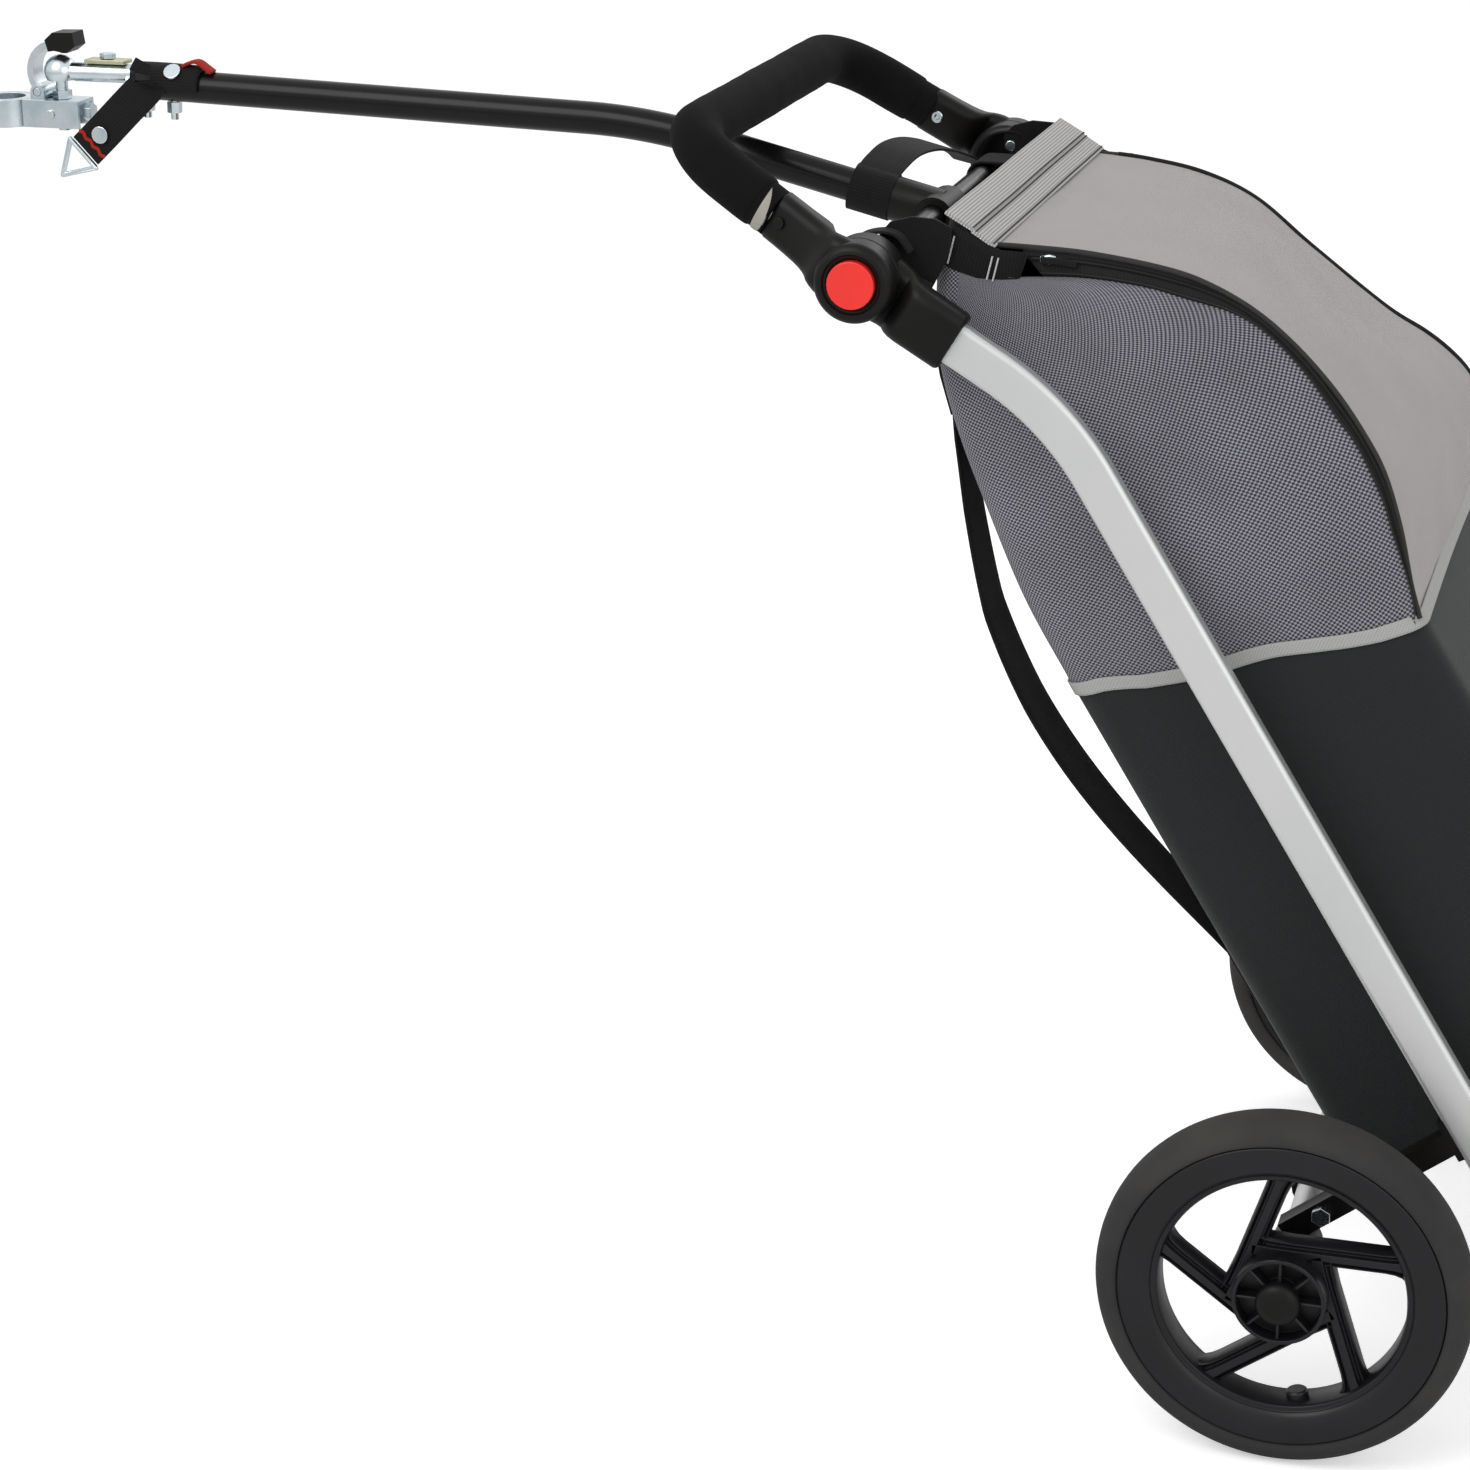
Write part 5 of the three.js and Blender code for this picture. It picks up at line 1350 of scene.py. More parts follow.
@dataclass
class Coupling:
    """The drawbar, its tee, the ball coupling on the seat post clamp, and the straps on them."""

    bar_radius: float = 11.5
    rear_slope: float = math.radians(14.1)
    bend: float = math.radians(12.2)
    bend_radius: float = 420.0
    rear_run: float = 218.0
    front_run: float = 391.0
    tee_ring: float = 14.5
    slack: float = 0.3
    saddle_long: float = 52.0
    strap_wide: float = 27.0
    strap_run: float = 72.0
    strap_slope: float = math.radians(43.0)
    strap_thick: float = 2.0
    tie_wide: float = 30.0
    tie_from_hub: float = 34.0
    tie_knots: Sequence[tuple[float, float, float]] = (
        (0, -6, -1), (2, 12, 4), (5, 40, 8), (9, 75, 6), (14, 110, -1), (18, 145, -11), (21, 172, -20),
        (22, 188, -27))

    @staticmethod
    def sloped(slope: float) -> np.ndarray:
        """The unit direction forward and up a slope."""
        return np.array([-math.cos(slope), 0, math.sin(slope)])

    @staticmethod
    def square(way: np.ndarray) -> np.ndarray:
        """The direction square to a sloped one, upward."""
        return np.array([way[2], 0, -way[0]])

    @property
    def rear_way(self) -> np.ndarray:
        """The drawbar's direction away from the hubs."""
        return self.sloped(self.rear_slope)

    @property
    def front_way(self) -> np.ndarray:
        """The drawbar's direction beyond its bend."""
        return self.sloped(self.rear_slope - self.bend)

    @property
    def corner(self) -> np.ndarray:
        """The corner of the drawbar's bend."""
        return SIDE.hub + self.rear_way * self.rear_run

    @property
    def end(self) -> np.ndarray:
        """The drawbar's front end."""
        return self.corner + self.front_way * self.front_run

    @property
    def strap_way(self) -> np.ndarray:
        """The direction in which the safety strap's tail hangs."""
        return self.sloped(-self.strap_slope)

    @property
    def strap_start(self) -> np.ndarray:
        """The place where the safety strap's tail leaves the saddle, on its near face."""
        return (self.end - self.front_way * (self.strap_wide / 2)
                - ACROSS * (self.bar_radius + self.slack + self.strap_thick * 2))

    def drawbar(self) -> Surface:
        """The long black tube with its gentle bend.

        Returns:
            The closed surface.
        """
        start = SIDE.hub + self.rear_way * (self.tee_ring + self.slack)
        route = rounded_route([start, self.corner, self.end], self.bend_radius, 6.0)
        return sweep(route, circle(self.bar_radius, 40))

    def safety_tail(self) -> Surface:
        """The webbing that leaves the saddle and hangs in a soft curve to its ring.

        Returns:
            The closed surface.
        """
        start, down, square = self.strap_start, self.strap_way, self.square(self.front_way)
        knots = [start + square * 13 + [1, 9.5, 0], start + square * 6 + [0, 1.6, 0],
                 start - down * 3 + [0, -0.4, 0], start + down * 24 + [0, 0.6, 0],
                 start + down * 48 + [0, 1.6, 0], start + down * (self.strap_run - 1) + [0, 1.0, 0]]
        return ribbon(through(knots, 40), np.cross(down, ACROSS), self.strap_wide, self.strap_thick)

    def red_thread(self) -> Surface:
        """The red thread across the strap's lower end.

        Returns:
            The closed surface.
        """
        down, share = self.strap_way, np.linspace(-0.5, 0.5, 15)[:, None]
        line = (self.strap_start + down * (self.strap_run - 9 + 0.9 * np.sin(share * 21)) + [0, -0.2, 0]
                + np.cross(down, ACROSS) * share * (self.strap_wide - 0.6))
        return sweep(line, rounded(1.7, 2.8, 0.8))

    def red_tip(self) -> Surface:
        """The red folded tip on top of the saddle.

        Returns:
            The closed surface.
        """
        rear = self.end - self.front_way * self.saddle_long - ACROSS * 3.0
        knots = [rear + self.front_way * run + self.square(self.front_way) * (self.bar_radius + rise)
                 for run, rise in ((13, 4.2), (8, 6.6), (2, 7.4), (-5, 3.2), (-9, 0.6))]
        return ribbon(through(knots, 18), ACROSS, 11.0, 2.4)

    def saddle(self) -> Surface:
        """The webbing sleeve sewn over the front end of the drawbar.

        A row is middle + radius * (cos(a) * across + sin(a) * up), out over the top and back under
        it, and the outer radius swells by a half sine along the tube.

        Returns:
            The closed surface.
        """
        angle = np.linspace(math.radians(-8), math.radians(188), 40)
        turn = np.concatenate([angle, angle[::-1]])
        way = np.cos(turn)[:, None] * ACROSS + np.sin(turn)[:, None] * self.square(self.front_way)
        rows = []
        for share in np.linspace(0, 1, 14):
            outer = self.bar_radius - 0.1 + self.strap_thick * 2 + 0.5 * math.sin(math.pi * share)
            reach = np.repeat([outer, self.bar_radius + 0.35], 40)[:, None]
            rows.append(self.end - self.front_way * self.saddle_long * (1 - share) + way * reach)
        return Surface.grid(np.array(rows), round_v=True, ends=True)

    def tie(self) -> tuple[Surface, Surface]:
        """The tie strap: a band round the drawbar, and a tail that rises in a bow to the right hub.

        Returns:
            The band and the tail.
        """
        way = self.rear_way
        start = SIDE.hub + way * self.tie_from_hub
        outer = self.bar_radius + 4.6
        band = sweep(evenly(np.array([start, start + way * self.tie_wide]), 6.0),
                     rounded(2 * outer, 2 * outer + 0.6, outer - 0.4, 10))
        lift = start + way * self.tie_wide / 2 + self.square(way) * (self.bar_radius + 3.4)
        return band, ribbon(through(lift + self.tie_knots, 70), way, self.tie_wide, 2.0)

    def build(self) -> None:
        """Builds and dresses every piece."""
        moulded(("clamp_ring", Body.CLAMP, "zinc_steel", 1.0, 2),
                ("clamp_bolt", Body.CLAMP, "zinc_steel", 0.6, 2),
                ("coupling_bracket", Body.CLAMP, "zinc_steel", 0.7, 2),
                ("bracket_rivet bracket_bolt", Body.CLAMP, "zinc_steel", 0.5, 2),
                ("latch_pin", Body.CLAMP, "zinc_steel", 0.4, 2),
                ("latch_hook", Body.LATCH, "zinc_steel", 1.0, 3),
                ("latch_grip", Body.LATCH, "black_plastic", 2.6, 4),
                ("ball_stud", Body.SWIVEL, "zinc_steel", 0.4, 2),
                ("ball_nut", Body.SWIVEL, "zinc_steel", 0.5, 2),
                ("lock_plate", Body.TRAILER, "olive_steel", 0.5, 2),
                ("ball_socket lock_screw drawbar_bolt_front drawbar_bolt_rear", Body.TRAILER, "zinc_steel", 0.5, 2),
                ("drawbar_tee", Body.TRAILER, "black_plastic", 1.6, 3),
                ("tee_cap", Body.TRAILER, "grey_plastic", 1.0, 3),
                ("strap_snap_upper strap_snap_lower", Body.TRAILER, "zinc_steel", 0.7, 3),
                ("safety_ring", Body.TRAILER, "zinc_steel", 0.3, 2))
        lay(self.drawbar(), "drawbar_bent", "gloss_black_tube", "drawbar_tube")
        lay(self.saddle(), "safety_strap_saddle", "black_webbing", "safety_strap")
        lay(self.safety_tail(), "safety_strap_tail", "black_webbing")
        lay(self.red_thread(), "safety_strap_red_thread", "red_trim")
        lay(self.red_tip(), "safety_strap_red_tip", "red_trim")
        band, tail = self.tie()
        lay(band, "tie_strap_band", "black_webbing", "tie_strap")
        lay(tail, "tie_strap_tail", "black_webbing")


def folds(u: np.ndarray, v: np.ndarray, waves: Rows) -> np.ndarray:
    """Soft folds as a sum of waves: depth * sin(phase + 2 pi (u / length u + v / length v)).

    Args:
        u: distances one way, in millimetres.
        v: distances the other way.
        waves: (depth, length along u, length along v, phase) of each wave.

    Returns:
        The heights.
    """
    return sum(depth * np.sin(phase + u / long_u * 2 * np.pi + v / long_v * 2 * np.pi)
               for depth, long_u, long_v, phase in waves)


def ease(share: np.ndarray) -> np.ndarray:
    """A smooth step from 0 to 1."""
    share = np.clip(share, 0, 1)
    return share * share * (3 - 2 * share)


@dataclass
class Bag:
    """The bag: a dark lower part, grey upper walls, a curved grey lid, and its sewn trimmings."""

    half: float = 178.0
    lid_half: float = 170.0
    depth: float = 103.0
    foot: float = 118.0
    corner: float = 18.0
    sole: float = 26.0
    hem: float = 17.0
    columns: int = 176
    wall_rows: int = 100
    zip_rows: int = 120
    zip_kept: tuple[int, int] = (2, 115)
    zip_edge_in: float = 4.2
    zip_tuck: float = 2.6
    slider_at: int = -12
    band_wide: float = 10.0
    lid_thick: float = 1.4
    strap_wide: float = 36.0
    strap_middle: float = 134.0
    strap_low: float = 178.0
    strap_high: float = 604.0
    strap_bow: float = 37.0
    carry_wide: float = 54.0
    loop_middle: float = 146.0
    loop_reach: float = 11.2
    band_line: Pairs = (
        (-103, 403), (-80, 396), (-55, 385), (-25, 378), (0, 372), (30, 365), (60, 356), (90, 345), (118, 338))
    zip_line: Pairs = (
        (338, 121), (352, 127), (369.2, 131.8), (400.3, 137.7), (420.6, 142.3), (457.5, 145.1), (481.1, 142.7),
        (511.8, 139.9), (544.9, 132.1), (569.7, 119.3), (593, 97), (612.8, 76.9), (636.8, 45.3), (657.6, 9.2))
    lid_near: Pairs = (
        (341, 125), (353.8, 128.2), (366.7, 131.9), (399.7, 142.9), (434, 150.8), (460.4, 152), (495.5, 149.5),
        (533.2, 141.7), (566.6, 129.5), (596.8, 111), (619.2, 90.1), (648.6, 54.9), (670.1, 23.9), (683, 4))
    lid_far: Pairs = (
        (341, 126), (356, 136), (378, 152), (398, 160), (415.6, 160), (433.6, 155.5), (453.7, 147), (483, 131),
        (546.4, 106), (595.6, 88), (630.4, 64), (658.4, 34), (678.8, 7.6), (683, 3))
    back_line: Pairs = (
        (403, -103), (470, -101), (540, -91), (585, -83), (626, -72), (660, -56), (692.6, -35.2))
    tab_line: Pairs = ((714.6, -12.5), (697.2, -3.0), (681.0, 5.0))
    flap_top: Pairs = ((706, -10), (697, -4), (687, 2), (678, 9), (668, 24))
    flap_low: Pairs = ((690, -30), (681, -24), (671, -15), (655, -5), (656, 10))
    flap_bars: Sequence[Pairs] = (((702, -14), (689, -27)), ((676, 4), (665, -7)))
    loop_target: tuple[float, float] = (696, -34)
    hub_loop: Pairs = (
        (681, -41), (697, -54), (709, -84), (724, -80), (731, -66), (728, -52), (720, -42), (706, -40))
    gusset: Pairs = (
        (678, -44), (690, -53), (704, -56), (718, -58), (726, -54), (729, -44), (725, -30), (716, -17),
        (706, -11), (696, -18), (687, -29))

    @property
    def heart(self) -> np.ndarray:
        """A place in the middle of the bag, which its walls look away from."""
        return SIDE.at(380, 10, 0)

    def sew(self, surface: Surface, name: str, finish: str, *nodes: str, thick: float = 1.0,
            body: Body = Body.TRAILER) -> None:
        """Settles a sheet of cloth that looks away from the middle of the bag."""
        lay(surface, name, finish, *nodes, body=body, away=self.heart, thick=thick)

    @staticmethod
    def stitch(path: np.ndarray, name: str, radius: float, across: np.ndarray = ACROSS,
               closed: bool = False) -> None:
        """Settles a dark thread along a path."""
        lay(sweep(path, circle(radius, 6), across, closed), name, "dark_thread")

    def band_at(self, ahead: np.ndarray, y: np.ndarray) -> np.ndarray:
        """The height of the light band at a place round the bag.

        The height is the band line's, with a half sine of 4 mm across the front and a ripple.

        Args:
            ahead: distances ahead of the side tubes.
            y: distances across.

        Returns:
            The heights.
        """
        table = np.asarray(self.band_line)
        dip = 4.0 * np.sin(np.pi * (y + self.half) / (2 * self.half)) * ease((ahead - 90) / 25)
        return np.interp(ahead, table[:, 0], table[:, 1]) + dip + 1.2 * np.sin(ahead / 14.0)

    def ring(self) -> tuple[np.ndarray, np.ndarray, np.ndarray]:
        """A ring round the lower part: share of its depth from the back, distance ahead, and y.

        Returns:
            The three arrays, with one value per column.
        """
        deep = self.depth + self.foot
        outline = rounded(deep, 2 * self.half, self.corner, 9)
        around = resampled(np.vstack([outline, outline[:1]]), self.columns, endpoint=False)
        ahead = around[:, 0] + deep / 2 - self.depth
        return (ahead + self.depth) / deep, ahead, around[:, 1]

    def lower_rows(self, low: np.ndarray | float, high: np.ndarray | float, rows: int,
                   proud: float) -> np.ndarray:
        """Rows of places round the bag between two heights.

        The wall is the ring scaled from back to front, tucked in by a quarter circle at the sole,
        with a half sine of bulge up the sides, front and back, and soft folds.

        Args:
            low: the lowest height, of all columns or of each one.
            high: the highest height.
            rows: how many rows.
            proud: how far the rows stand off the wall.

        Returns:
            An array (rows, columns, 3).
        """
        share, _, y = self.ring()
        rise = low + (high - low) * np.linspace(0, 1, rows)[:, None] + np.zeros(self.columns)
        tuck = self.sole - np.sqrt(self.sole ** 2 - np.clip(self.sole - rise, 0, self.sole) ** 2)
        step = np.clip(rise / 340.0, 0, 1)
        front = self.foot + 8.0 * step + 3.0 * np.sin(np.pi * step)
        ahead = -self.depth + share * (self.depth + front) + (0.5 - share) * 2 * tuck * np.abs(share - 0.5) * 2
        body = np.sin(np.pi * np.clip(rise / 400, 0, 1))
        bulge = 2.2 * body * np.sin(np.pi * np.clip(share, 0, 1)) + folds(
            rise, ahead, ((0.5, 310, 170, 0.4), (0.35, 150, -95, 2.0))) * body
        wide = y + np.sign(y) * (bulge * (np.abs(y) > self.half - 6) - 0.12 * tuck)
        puff = 4.0 * body * np.cos(np.pi * y / (2 * self.half))
        ahead = ahead + (share > 0.97) * puff - (share < 0.03) * puff * 0.5
        away_y = np.where(np.abs(y) > self.half - self.corner, np.sign(y) * proud, 0)
        away_b = np.where(share > 0.93, proud, np.where(share < 0.07, -proud, 0))
        return SIDE.at(rise, ahead + away_b, wide + away_y)

    def upper_wall(self, edges: tuple[np.ndarray, np.ndarray], back: np.ndarray, swell: float,
                   proud: float = 0.0) -> np.ndarray:
        """Rows of a wall that runs from the left edge round the back to the right edge.

        A side row is edge + t * (corner - edge), swelled outward by sin(pi t) to the power 0.8 and
        folded; then a quarter circle turns it into the back, which sags by a half sine.

        Args:
            edges: (rise, ahead) of each row's left end, and of its right end.
            back: (rise, ahead) of each row at the back.
            swell: how far the sides swell out.
            proud: how far the wall stands off its lines.

        Returns:
            An array (rows, columns, 3).
        """
        step = np.linspace(0, 1, len(back))[:, None]
        side_t = np.linspace(0, 1, 54)
        round_t = np.linspace(0, np.pi / 2, 8)[1:]
        envelope = np.sin(np.pi * side_t)[None, :] ** 0.8 * ease(step / 0.16) * ease((1 - step) / 0.12)
        edge_in = 4.0 * (1 - ease(side_t / 0.09))[None, :]
        strips = []
        for edge, sign in zip(edges, (-1, 1)):
            way = unit(back - edge)
            stop = back - way * self.corner
            flat_ab = edge[:, None] + (stop - edge)[:, None] * side_t[None, :, None]
            wave = folds(flat_ab[..., 1], flat_ab[..., 0],
                         ((1.5, 74, 420, 0.6), (1.0, 41, -300, 2.2), (0.7, 120, 90, 1.0), (0.5, -57, 66, 0.2)))
            y = sign * (self.half + proud + (swell + wave) * envelope - edge_in)
            flat = SIDE.at(flat_ab[..., 0], flat_ab[..., 1], y)
            turn_ab = stop[:, None] + (way * self.corner)[:, None] * np.sin(round_t)[None, :, None]
            turn_y = sign * (self.half + proud - self.corner * (1 - np.cos(round_t)))
            corner = SIDE.at(turn_ab[..., 0], turn_ab[..., 1] - proud, turn_y[None, :])
            strips.append(np.concatenate([flat, corner], axis=1))
        across = np.linspace(-1, 1, 36)[1:-1] * (self.half - self.corner)
        sag = 3.0 * np.cos(np.pi * across / (2 * self.half))[None, :] * np.sin(np.pi * step)
        rear = SIDE.at(back[:, :1], back[:, 1:] - sag - proud, across[None, :])
        return np.concatenate([strips[0], rear, strips[1][:, ::-1]], axis=1)

    def far_zip_line(self, count: int) -> np.ndarray:
        """The zip's line on the far side: it follows the far edge of the lid.

        Args:
            count: how many samples are wanted.

        Returns:
            An array (count, 2) of rise and ahead.
        """
        near_edge = through(self.zip_line, count)
        line = through(self.lid_far, count) + near_edge - through(self.lid_near, count)
        fade = ease(np.linspace(0, 1, count) / 0.08)[:, None]
        return near_edge * (1 - fade) + line * fade

    def lid_rows(self, rows: int, columns: int) -> np.ndarray:
        """The lid: near and far edge lines with cloth between them, crowned and softly creased.

        A place is near * (1 - t) + far * t + outward * height, and the height is a crown of sin(pi
        t) to the power 0.7 with folds and puckers on it, eased to nothing at both ends.

        Args:
            rows: how many places along the edges.
            columns: how many across.

        Returns:
            An array (rows, columns, 3).
        """
        t = np.linspace(0, 1, columns)[None, :, None]
        line = through(self.lid_near, rows)[:, None] * (1 - t) + through(self.lid_far, rows)[:, None] * t
        run = unit(np.gradient(line, axis=0))
        out = np.stack([-run[..., 1], run[..., 0]], -1)
        share, t = np.linspace(0, 1, rows)[:, None], t[..., 0]
        along, across = share * 420, (t * 2 - 1) * self.lid_half
        env = np.sin(np.pi * t) ** 0.7 * ease(share / 0.06) * ease((1 - share) / 0.06)
        height = 5.0 * env + env * folds(across, along, (
            (1.3, 260, 120, 0.3), (0.9, -140, 70, 1.1), (0.6, 90, 200, 2.0), (0.4, 60, -48, 0.7)))
        pucker = 0.5 * np.sin(along / 4.6) * (np.exp(-t / 0.03) + np.exp(-(1 - t) / 0.03)) * env
        line = line + out * (height + pucker)[..., None]
        return SIDE.at(line[..., 0], line[..., 1], across)

    def walls(self) -> None:
        """The lower part, its hem, the upper walls, the dark neck and the light band."""
        _, ahead, y = self.ring()
        top, half = self.band_at(ahead, y), self.band_wide / 2
        lower = Surface.grid(self.lower_rows(0.4, top, 96, 0.0), round_v=True)
        lower.faces.append(list(range(self.columns)))
        self.sew(lower, "bag_lower_cloth", "lower_cloth", "bag_shell")
        hem = Surface.grid(self.lower_rows(3.0, self.hem, 8, 1.1), round_v=True)
        self.sew(hem, "bag_hem", "lower_cloth")
        for k, height in enumerate((self.hem - 2.5, self.hem - 11.0)):
            row = self.lower_rows(height, height, 2, 1.5)[0]
            self.stitch(row, f"bag_hem_stitch_{k}", 0.45, SIDE.up, closed=True)
        near, back = (through(line, self.wall_rows) for line in (self.zip_line, self.back_line))
        upper = self.upper_wall((near, self.far_zip_line(self.wall_rows)), back, 4.0)
        self.sew(Surface.grid(upper), "bag_side_cloth", "side_cloth", thick=1.2)
        share = np.linspace(0, 1, 12)[:, None]
        front, rear = (low + (np.array(high) - low) * share for low, high in
                       ((near[-1], self.tab_line[2]), (back[-1], self.tab_line[0])))
        self.sew(Surface.grid(self.upper_wall((front, front), rear, 1.0, -1.5)), "bag_neck_cloth", "zip_tape")
        band = Surface.grid(self.lower_rows(top - half, top + half, 6, 1.3), round_v=True)
        self.sew(band, "bag_light_band", "reflective_band")

    def lid(self) -> None:
        """The lid with the dark piping on its long edges."""
        rows = self.lid_rows(120, 90)
        self.sew(Surface.grid(rows), "bag_lid_cloth", "lid_cloth", "bag_lid", thick=self.lid_thick, body=Body.LID)
        for word, column in (("near", 0), ("far", -1)):
            piping = sweep(rows[:, column], circle(1.9, 12))
            lay(piping, "bag_lid_piping_" + word, "dark_thread", body=Body.LID)

    def zips(self) -> None:
        """The dark zip strips between the lid and the side walls, with their teeth and pulls."""
        count = self.zip_rows
        share = np.linspace(0, 1, 9)[None, :, None]
        lines = {Hand.LEFT: (through(self.zip_line, count), through(self.lid_near, count)),
                 Hand.RIGHT: (self.far_zip_line(count), through(self.lid_far, count))}
        for hand, (low, high) in lines.items():
            word, outward = hand.word, hand.value * ACROSS
            line = (low[:, None] * (1 - share) + high[:, None] * share)[slice(*self.zip_kept)]
            y = hand.value * (self.half - self.zip_edge_in + 1.8 * np.sin(np.pi * share[..., 0])
                              + (self.lid_half - self.half + self.zip_tuck) * share[..., 0])
            strip = SIDE.at(line[..., 0], line[..., 1], y)
            self.sew(Surface.grid(strip), "bag_zip_tape_" + word, "zip_tape")
            if hand is Hand.RIGHT:
                piping = sweep(evenly(strip[:, 8] + [0, 0.6, 0.9], 5.0), circle(2.0, 12))
                lay(piping, "bag_zip_piping_right", "zip_tape")
            coil = evenly(strip[:, 5] + outward * 0.6, 1.1)
            swell = ((1.25 if hand is Hand.LEFT else 2.5) + 0.35 * (np.arange(len(coil)) % 2))[:, None, None]
            lay(sweep(coil, circle(1.0, 8)[None] * swell), "bag_zip_teeth_" + word, "black_plastic")
            for k, column in enumerate((1, 7)):
                self.stitch(strip[:, column] + outward * 0.4, f"bag_zip_stitch_{word}_{k}", 0.4)
            place = coil[self.slider_at]
            way = unit(place - coil[self.slider_at - 5])
            across = np.cross(way, ACROSS)
            shape = np.array([5.0, 7.0, 4.0])[:, None, None] * rounded(1.0, 0.62, 0.2)[None]
            slider = sweep(np.array([place - way * 6, place - way * 2, place + way * 4]), shape, across)
            lay(slider, "zip_slider_" + word, "zinc_steel")
            tag = through([place, place + way * 3 + outward * 3.4, place - way * 9 + outward * 4.2,
                           place - way * 20 + outward * 2.6 + [0, 0, -2]], 16)
            lay(sweep(tag, rounded(4.6, 1.4, 0.6), across), "zip_tag_" + word, "black_plastic")

    def tab(self) -> None:
        """The grey ribbed tab over the top edge: two bands and their dark stitching."""
        y = np.linspace(-self.half, self.half, 40)
        corners = [SIDE.at(*pair, 0) for pair in self.tab_line]
        for k, (rise, spare, edges, nodes) in enumerate((
                (2.4, 2.0, (0.5,), ("bag_tab",)), (1.4, 0.6, (-0.38, 0.42), ()))):
            one, two = corners[k:k + 2]
            across = unit(two - one)
            out = np.cross(across, ACROSS)
            out = out if out @ SIDE.up > 0 else -out
            path = (one + two) / 2 + out * (rise + 0.4 * np.sin(y / 31.0))[:, None]
            path[:, 1] = y
            wide = float(np.linalg.norm(two - one)) + spare
            lay(ribbon(path, across, wide, 2.4), f"bag_tab_band_{k}", "grey_webbing", *nodes)
            for j, edge in enumerate(edges):
                line = path + across * wide * edge * 0.9 + out * 1.3
                self.stitch(line, f"bag_tab_stitch_{k}_{j}", 0.55, across)

    def neck(self) -> None:
        """The dark cloth of the neck beside the tab, its stitched bars, and a loop by each hub."""
        share = np.linspace(0, 1, 6)[:, None, None]
        line = np.array(self.flap_low) * (1 - share) + np.array(self.flap_top) * share
        edge = np.array(self.gusset, float)
        for hand in Hand:
            word, side = hand.word, hand.value
            y = side * (self.half + 0.4)
            flap = SIDE.at(line[..., 0], line[..., 1], y + side * 0.8 * np.sin(np.pi * share[..., 0]))
            self.sew(Surface.grid(flap), "bag_neck_flap_" + word, "black_webbing", thick=1.2)
            for k, ends in enumerate(np.array(self.flap_bars, float)):
                way = unit(ends[1] - ends[0])
                for j, shift in enumerate((-2.0, 2.0)):
                    path = SIDE.at(*(ends + np.array([-way[1], way[0]]) * shift).T, y + side * 1.5)
                    bar = sweep(evenly(path, 3.0), rounded(1.2, 0.9, 0.3), np.cross(unit(path[1] - path[0]), ACROSS))
                    lay(bar, f"bag_neck_bar_{word}_{k}_{j}", "grey_webbing")
            knots = SIDE.at(*np.array(self.hub_loop).T, side * 187.0)
            lay(ribbon(evenly(through(knots, 60), 2.5), ACROSS, 15.0, 2.0), "hub_loop_" + word, "black_webbing")
            faces = [SIDE.at(*edge.T, side * depth) for depth in (183.0, 180.2)]
            lay(Surface.grid(np.array(faces), round_v=True, ends=True), "hub_gusset_" + word, "black_webbing")

    def back_path(self, low: float, high: float, count: int, bow: np.ndarray, y: float) -> np.ndarray:
        """A line up the back of the bag, which stands off it by the bow.

        Args:
            low: the lowest rise.
            high: the highest rise.
            count: how many places.
            bow: how far it stands off, for all places or for each one.
            y: its distance across.

        Returns:
            An array (count, 3).
        """
        table = np.array([(0, -self.depth), (400, -self.depth), *self.back_line[1:]])
        rise = np.linspace(low, high, count)
        return SIDE.at(rise, np.interp(rise, table[:, 0], table[:, 1]) - bow, y)

    def straps(self) -> None:
        """The carrying straps down the back and the loops round the top tube."""
        share = np.linspace(0, 1, 60)
        bow = 1.6 + self.strap_bow * np.sin(np.pi * share) ** 1.15
        broad = 1 - 0.3 * (1 - np.sin(np.pi * share) ** 0.5)
        shape = (rounded(1.0, 1.0, 0.3) * [self.carry_wide, 3.4])[None] * np.stack([broad, np.ones(60)], -1)[:, None]
        target = SIDE.at(*self.loop_target, 0)
        run = unit(target - SIDE.hub)
        side = np.cross(run, ACROSS)
        turn = np.linspace(math.pi / 2, 1.5 * math.pi, 22)
        arc = SIDE.hub + self.loop_reach * (np.cos(turn)[:, None] * run + np.sin(turn)[:, None] * side)
        loop = np.vstack([target + side * 4, arc, target - side * 4])
        for hand in Hand:
            word, y = hand.word, hand.value * self.strap_middle
            for end, low, high in (("low", 112, 186), ("high", 598, 634)):
                patch = ribbon(self.back_path(low, high, 8, 3.4, y), ACROSS, self.strap_wide + 2, 4.2)
                lay(patch, f"strap_patch_{end}_{word}", "black_webbing")
            strap = sweep(self.back_path(self.strap_low, self.strap_high, 60, bow, y), shape)
            lay(strap, f"carry_strap_{word}_webbing", "black_webbing", "carry_strap_" + word)
            loop[:, 1] = hand.value * self.loop_middle
            lay(ribbon(evenly(loop, 2.5), ACROSS, self.strap_wide, 2.0), f"hang_loop_{word}_webbing",
                "black_webbing", "hang_loop_" + word)

    def build(self) -> None:
        """Builds and dresses the whole bag."""
        self.walls()
        self.lid()
        self.zips()
        self.tab()
        self.neck()
        self.straps()


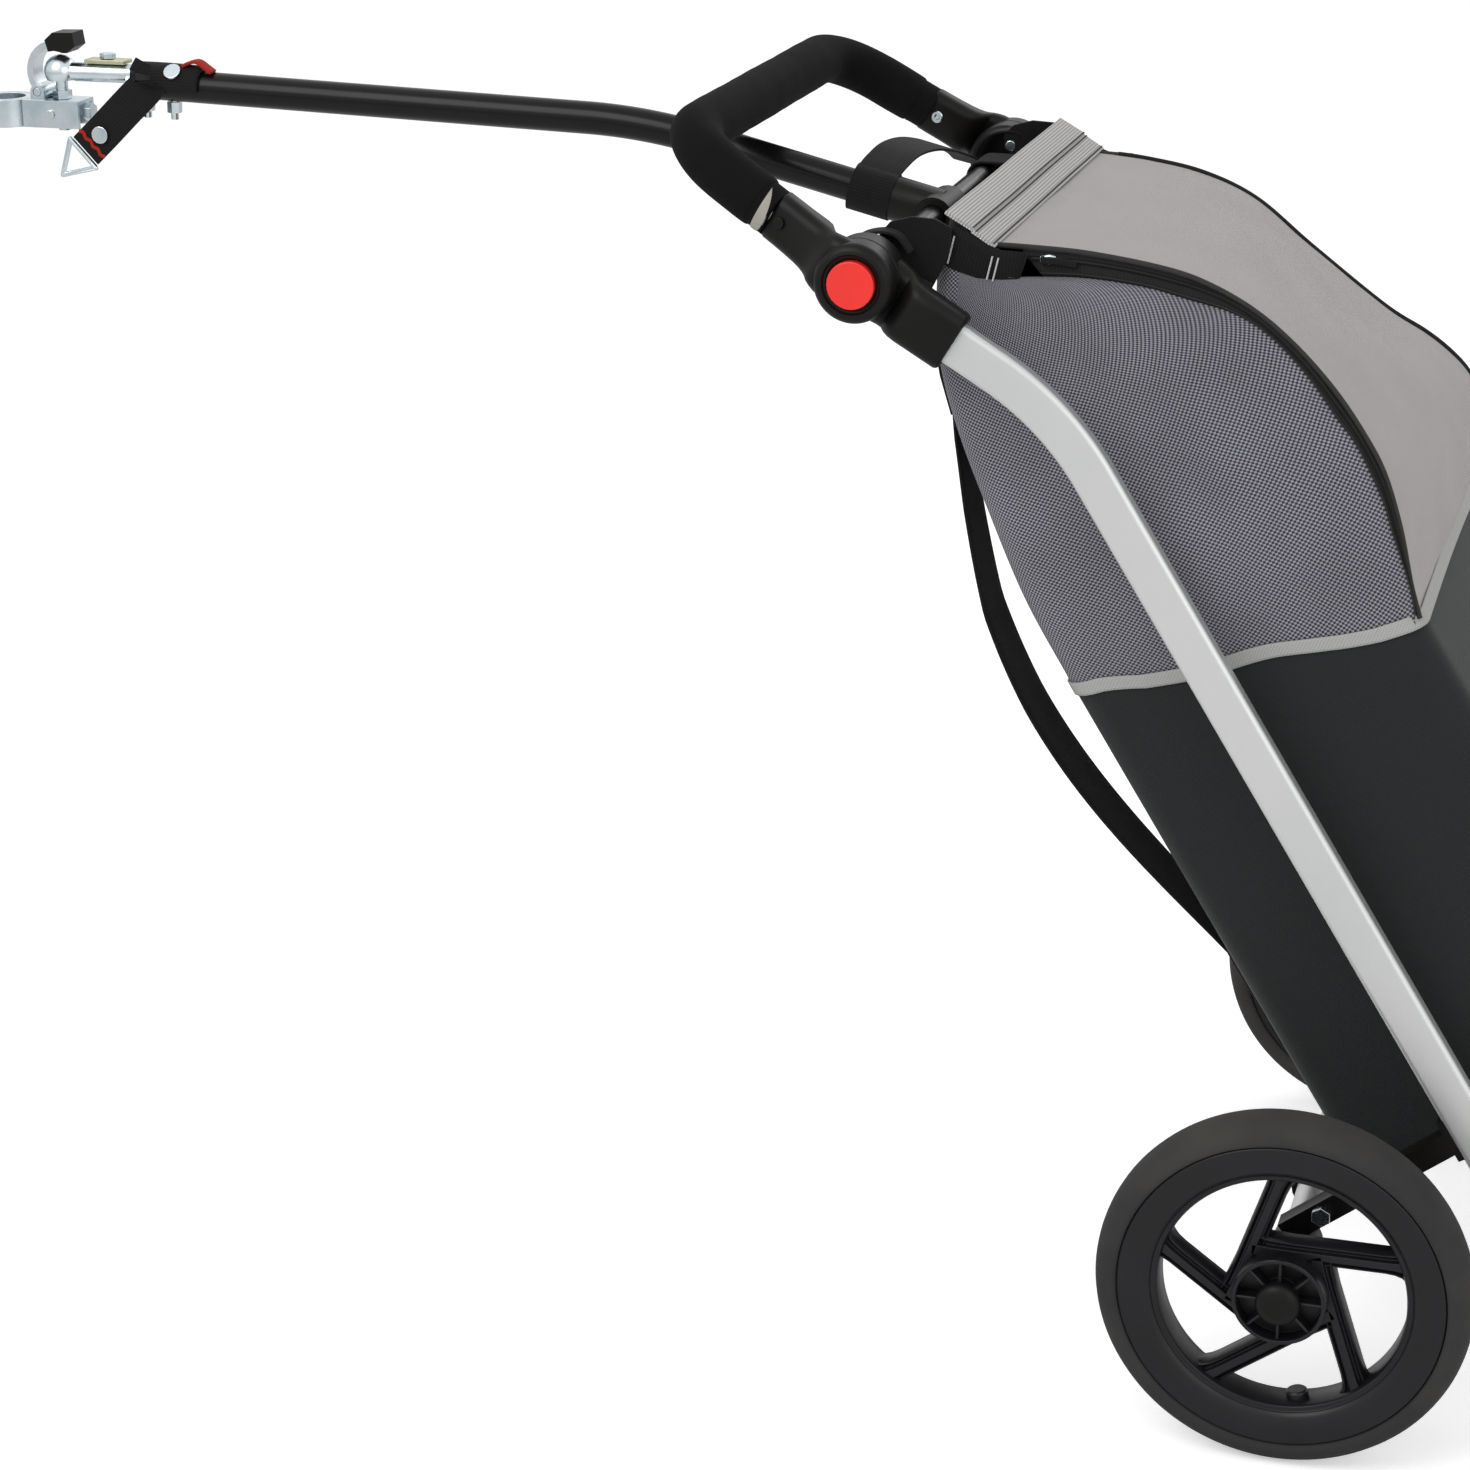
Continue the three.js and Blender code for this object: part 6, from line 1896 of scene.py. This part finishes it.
@dataclass
class Studio:
    """The floor, the lamps, the plain world and the camera at the photograph's viewing angle."""

    place: tuple[float, float, float] = (258.7, -2347.0, 1252.9)
    yaw: float = math.radians(-16.50)
    pitch: float = math.radians(19.96)
    roll: float = math.radians(0.48)
    lens: float = 86.21
    shift: tuple[float, float] = (-0.019, 0.0091)
    world_strength: float = 0.6
    key_watts: float = 46.0
    floor_glow: float = 0.45
    floor_size: float = 30000.0

    def camera(self) -> None:
        """Creates the camera."""
        forward = np.array([math.sin(self.yaw) * math.cos(self.pitch),
                            math.cos(self.yaw) * math.cos(self.pitch), -math.sin(self.pitch)])
        level = np.array([math.cos(self.yaw), -math.sin(self.yaw), 0.0])
        down = np.cross(forward, level)
        right = math.cos(self.roll) * level + math.sin(self.roll) * down
        below = -math.sin(self.roll) * level + math.cos(self.roll) * down
        data = bpy.data.cameras.new("photo_view")
        data.lens, data.sensor_width, data.clip_end = self.lens, SENSOR, FAR_CLIP
        data.shift_x, data.shift_y = self.shift
        camera = linked("photo_view", data)
        matrix = Matrix(np.stack([right, -below, -forward], 1).tolist()).to_4x4()
        matrix.translation = metres(self.place)
        camera.matrix_world = matrix
        bpy.context.scene.camera = camera

    def floor(self) -> None:
        """A wide pale floor at the wheels' lowest point, white where only the camera sees it."""
        ends = (-self.floor_size, self.floor_size)
        piece = Surface.grid(np.array([[[x, y, -0.3] for y in ends] for x in ends])).make("studio_floor")
        material = bpy.data.materials.new("studio_floor_pale")
        material.use_nodes = True
        graph = Graph(material.node_tree)
        rays = graph.node("LightPath", {}).outputs
        graph.shade({"Base Color": (0.93, 0.93, 0.93, 1), "Roughness": 0.9, "Specular IOR Level": 0.1,
                     "Emission Color": WHITE,
                     "Emission Strength": graph.maths("MULTIPLY", rays["Is Camera Ray"], self.floor_glow)})
        piece.data.materials.append(material)

    def lights(self) -> None:
        """The soft lamps and the world."""
        for name, spot, aim, size, share in (
                ("key", (-1500, -2300, 2900), (-100, 0, 500), 2.0, 1.0),
                ("fill", (2000, -1900, 1500), (0, 0, 400), 2.4, 0.35),
                ("rim", (600, 2400, 2300), (-100, 0, 500), 1.8, 0.3)):
            data = bpy.data.lights.new(name, "AREA")
            data.energy, data.size = self.key_watts * share, size
            lamp = linked(name, data)
            lamp.location = metres(spot)
            lamp.rotation_euler = (metres(aim) - metres(spot)).to_track_quat("-Z", "Y").to_euler()
        world = bpy.data.worlds.new("studio_world")
        bpy.context.scene.world = world
        world.use_nodes = True
        graph = Graph(world.node_tree)
        rays = graph.node("LightPath", {}).outputs
        bounced = graph.maths("MAXIMUM", rays["Is Glossy Ray"], rays["Is Transmission Ray"])
        seen = graph.maths("MAXIMUM", rays["Is Camera Ray"], bounced)
        back = graph.tree.nodes["Background"].inputs
        graph.feed(back["Color"], WHITE)
        graph.feed(back["Strength"], graph.maths("MAXIMUM", seen, self.world_strength))

    def build(self) -> None:
        """Builds the studio."""
        self.camera()
        self.floor()
        self.lights()
        bpy.context.scene.view_settings.view_transform = "Standard"


def spread(box: tuple) -> list[list[float]]:
    """A box as plain lists of numbers."""
    return [[float(value) for value in corner] for corner in box]


def main() -> None:
    """Builds the trailer's looks in order."""
    logging.basicConfig(level=logging.INFO, format="%(name)s: %(message)s")
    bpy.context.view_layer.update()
    Studio().build()
    for hand in Hand:
        Wheel(hand).build()
    Undercarriage().build()
    Handle().build()
    Coupling().build()
    Bag().build()


if __name__ == "__main__":
    main()
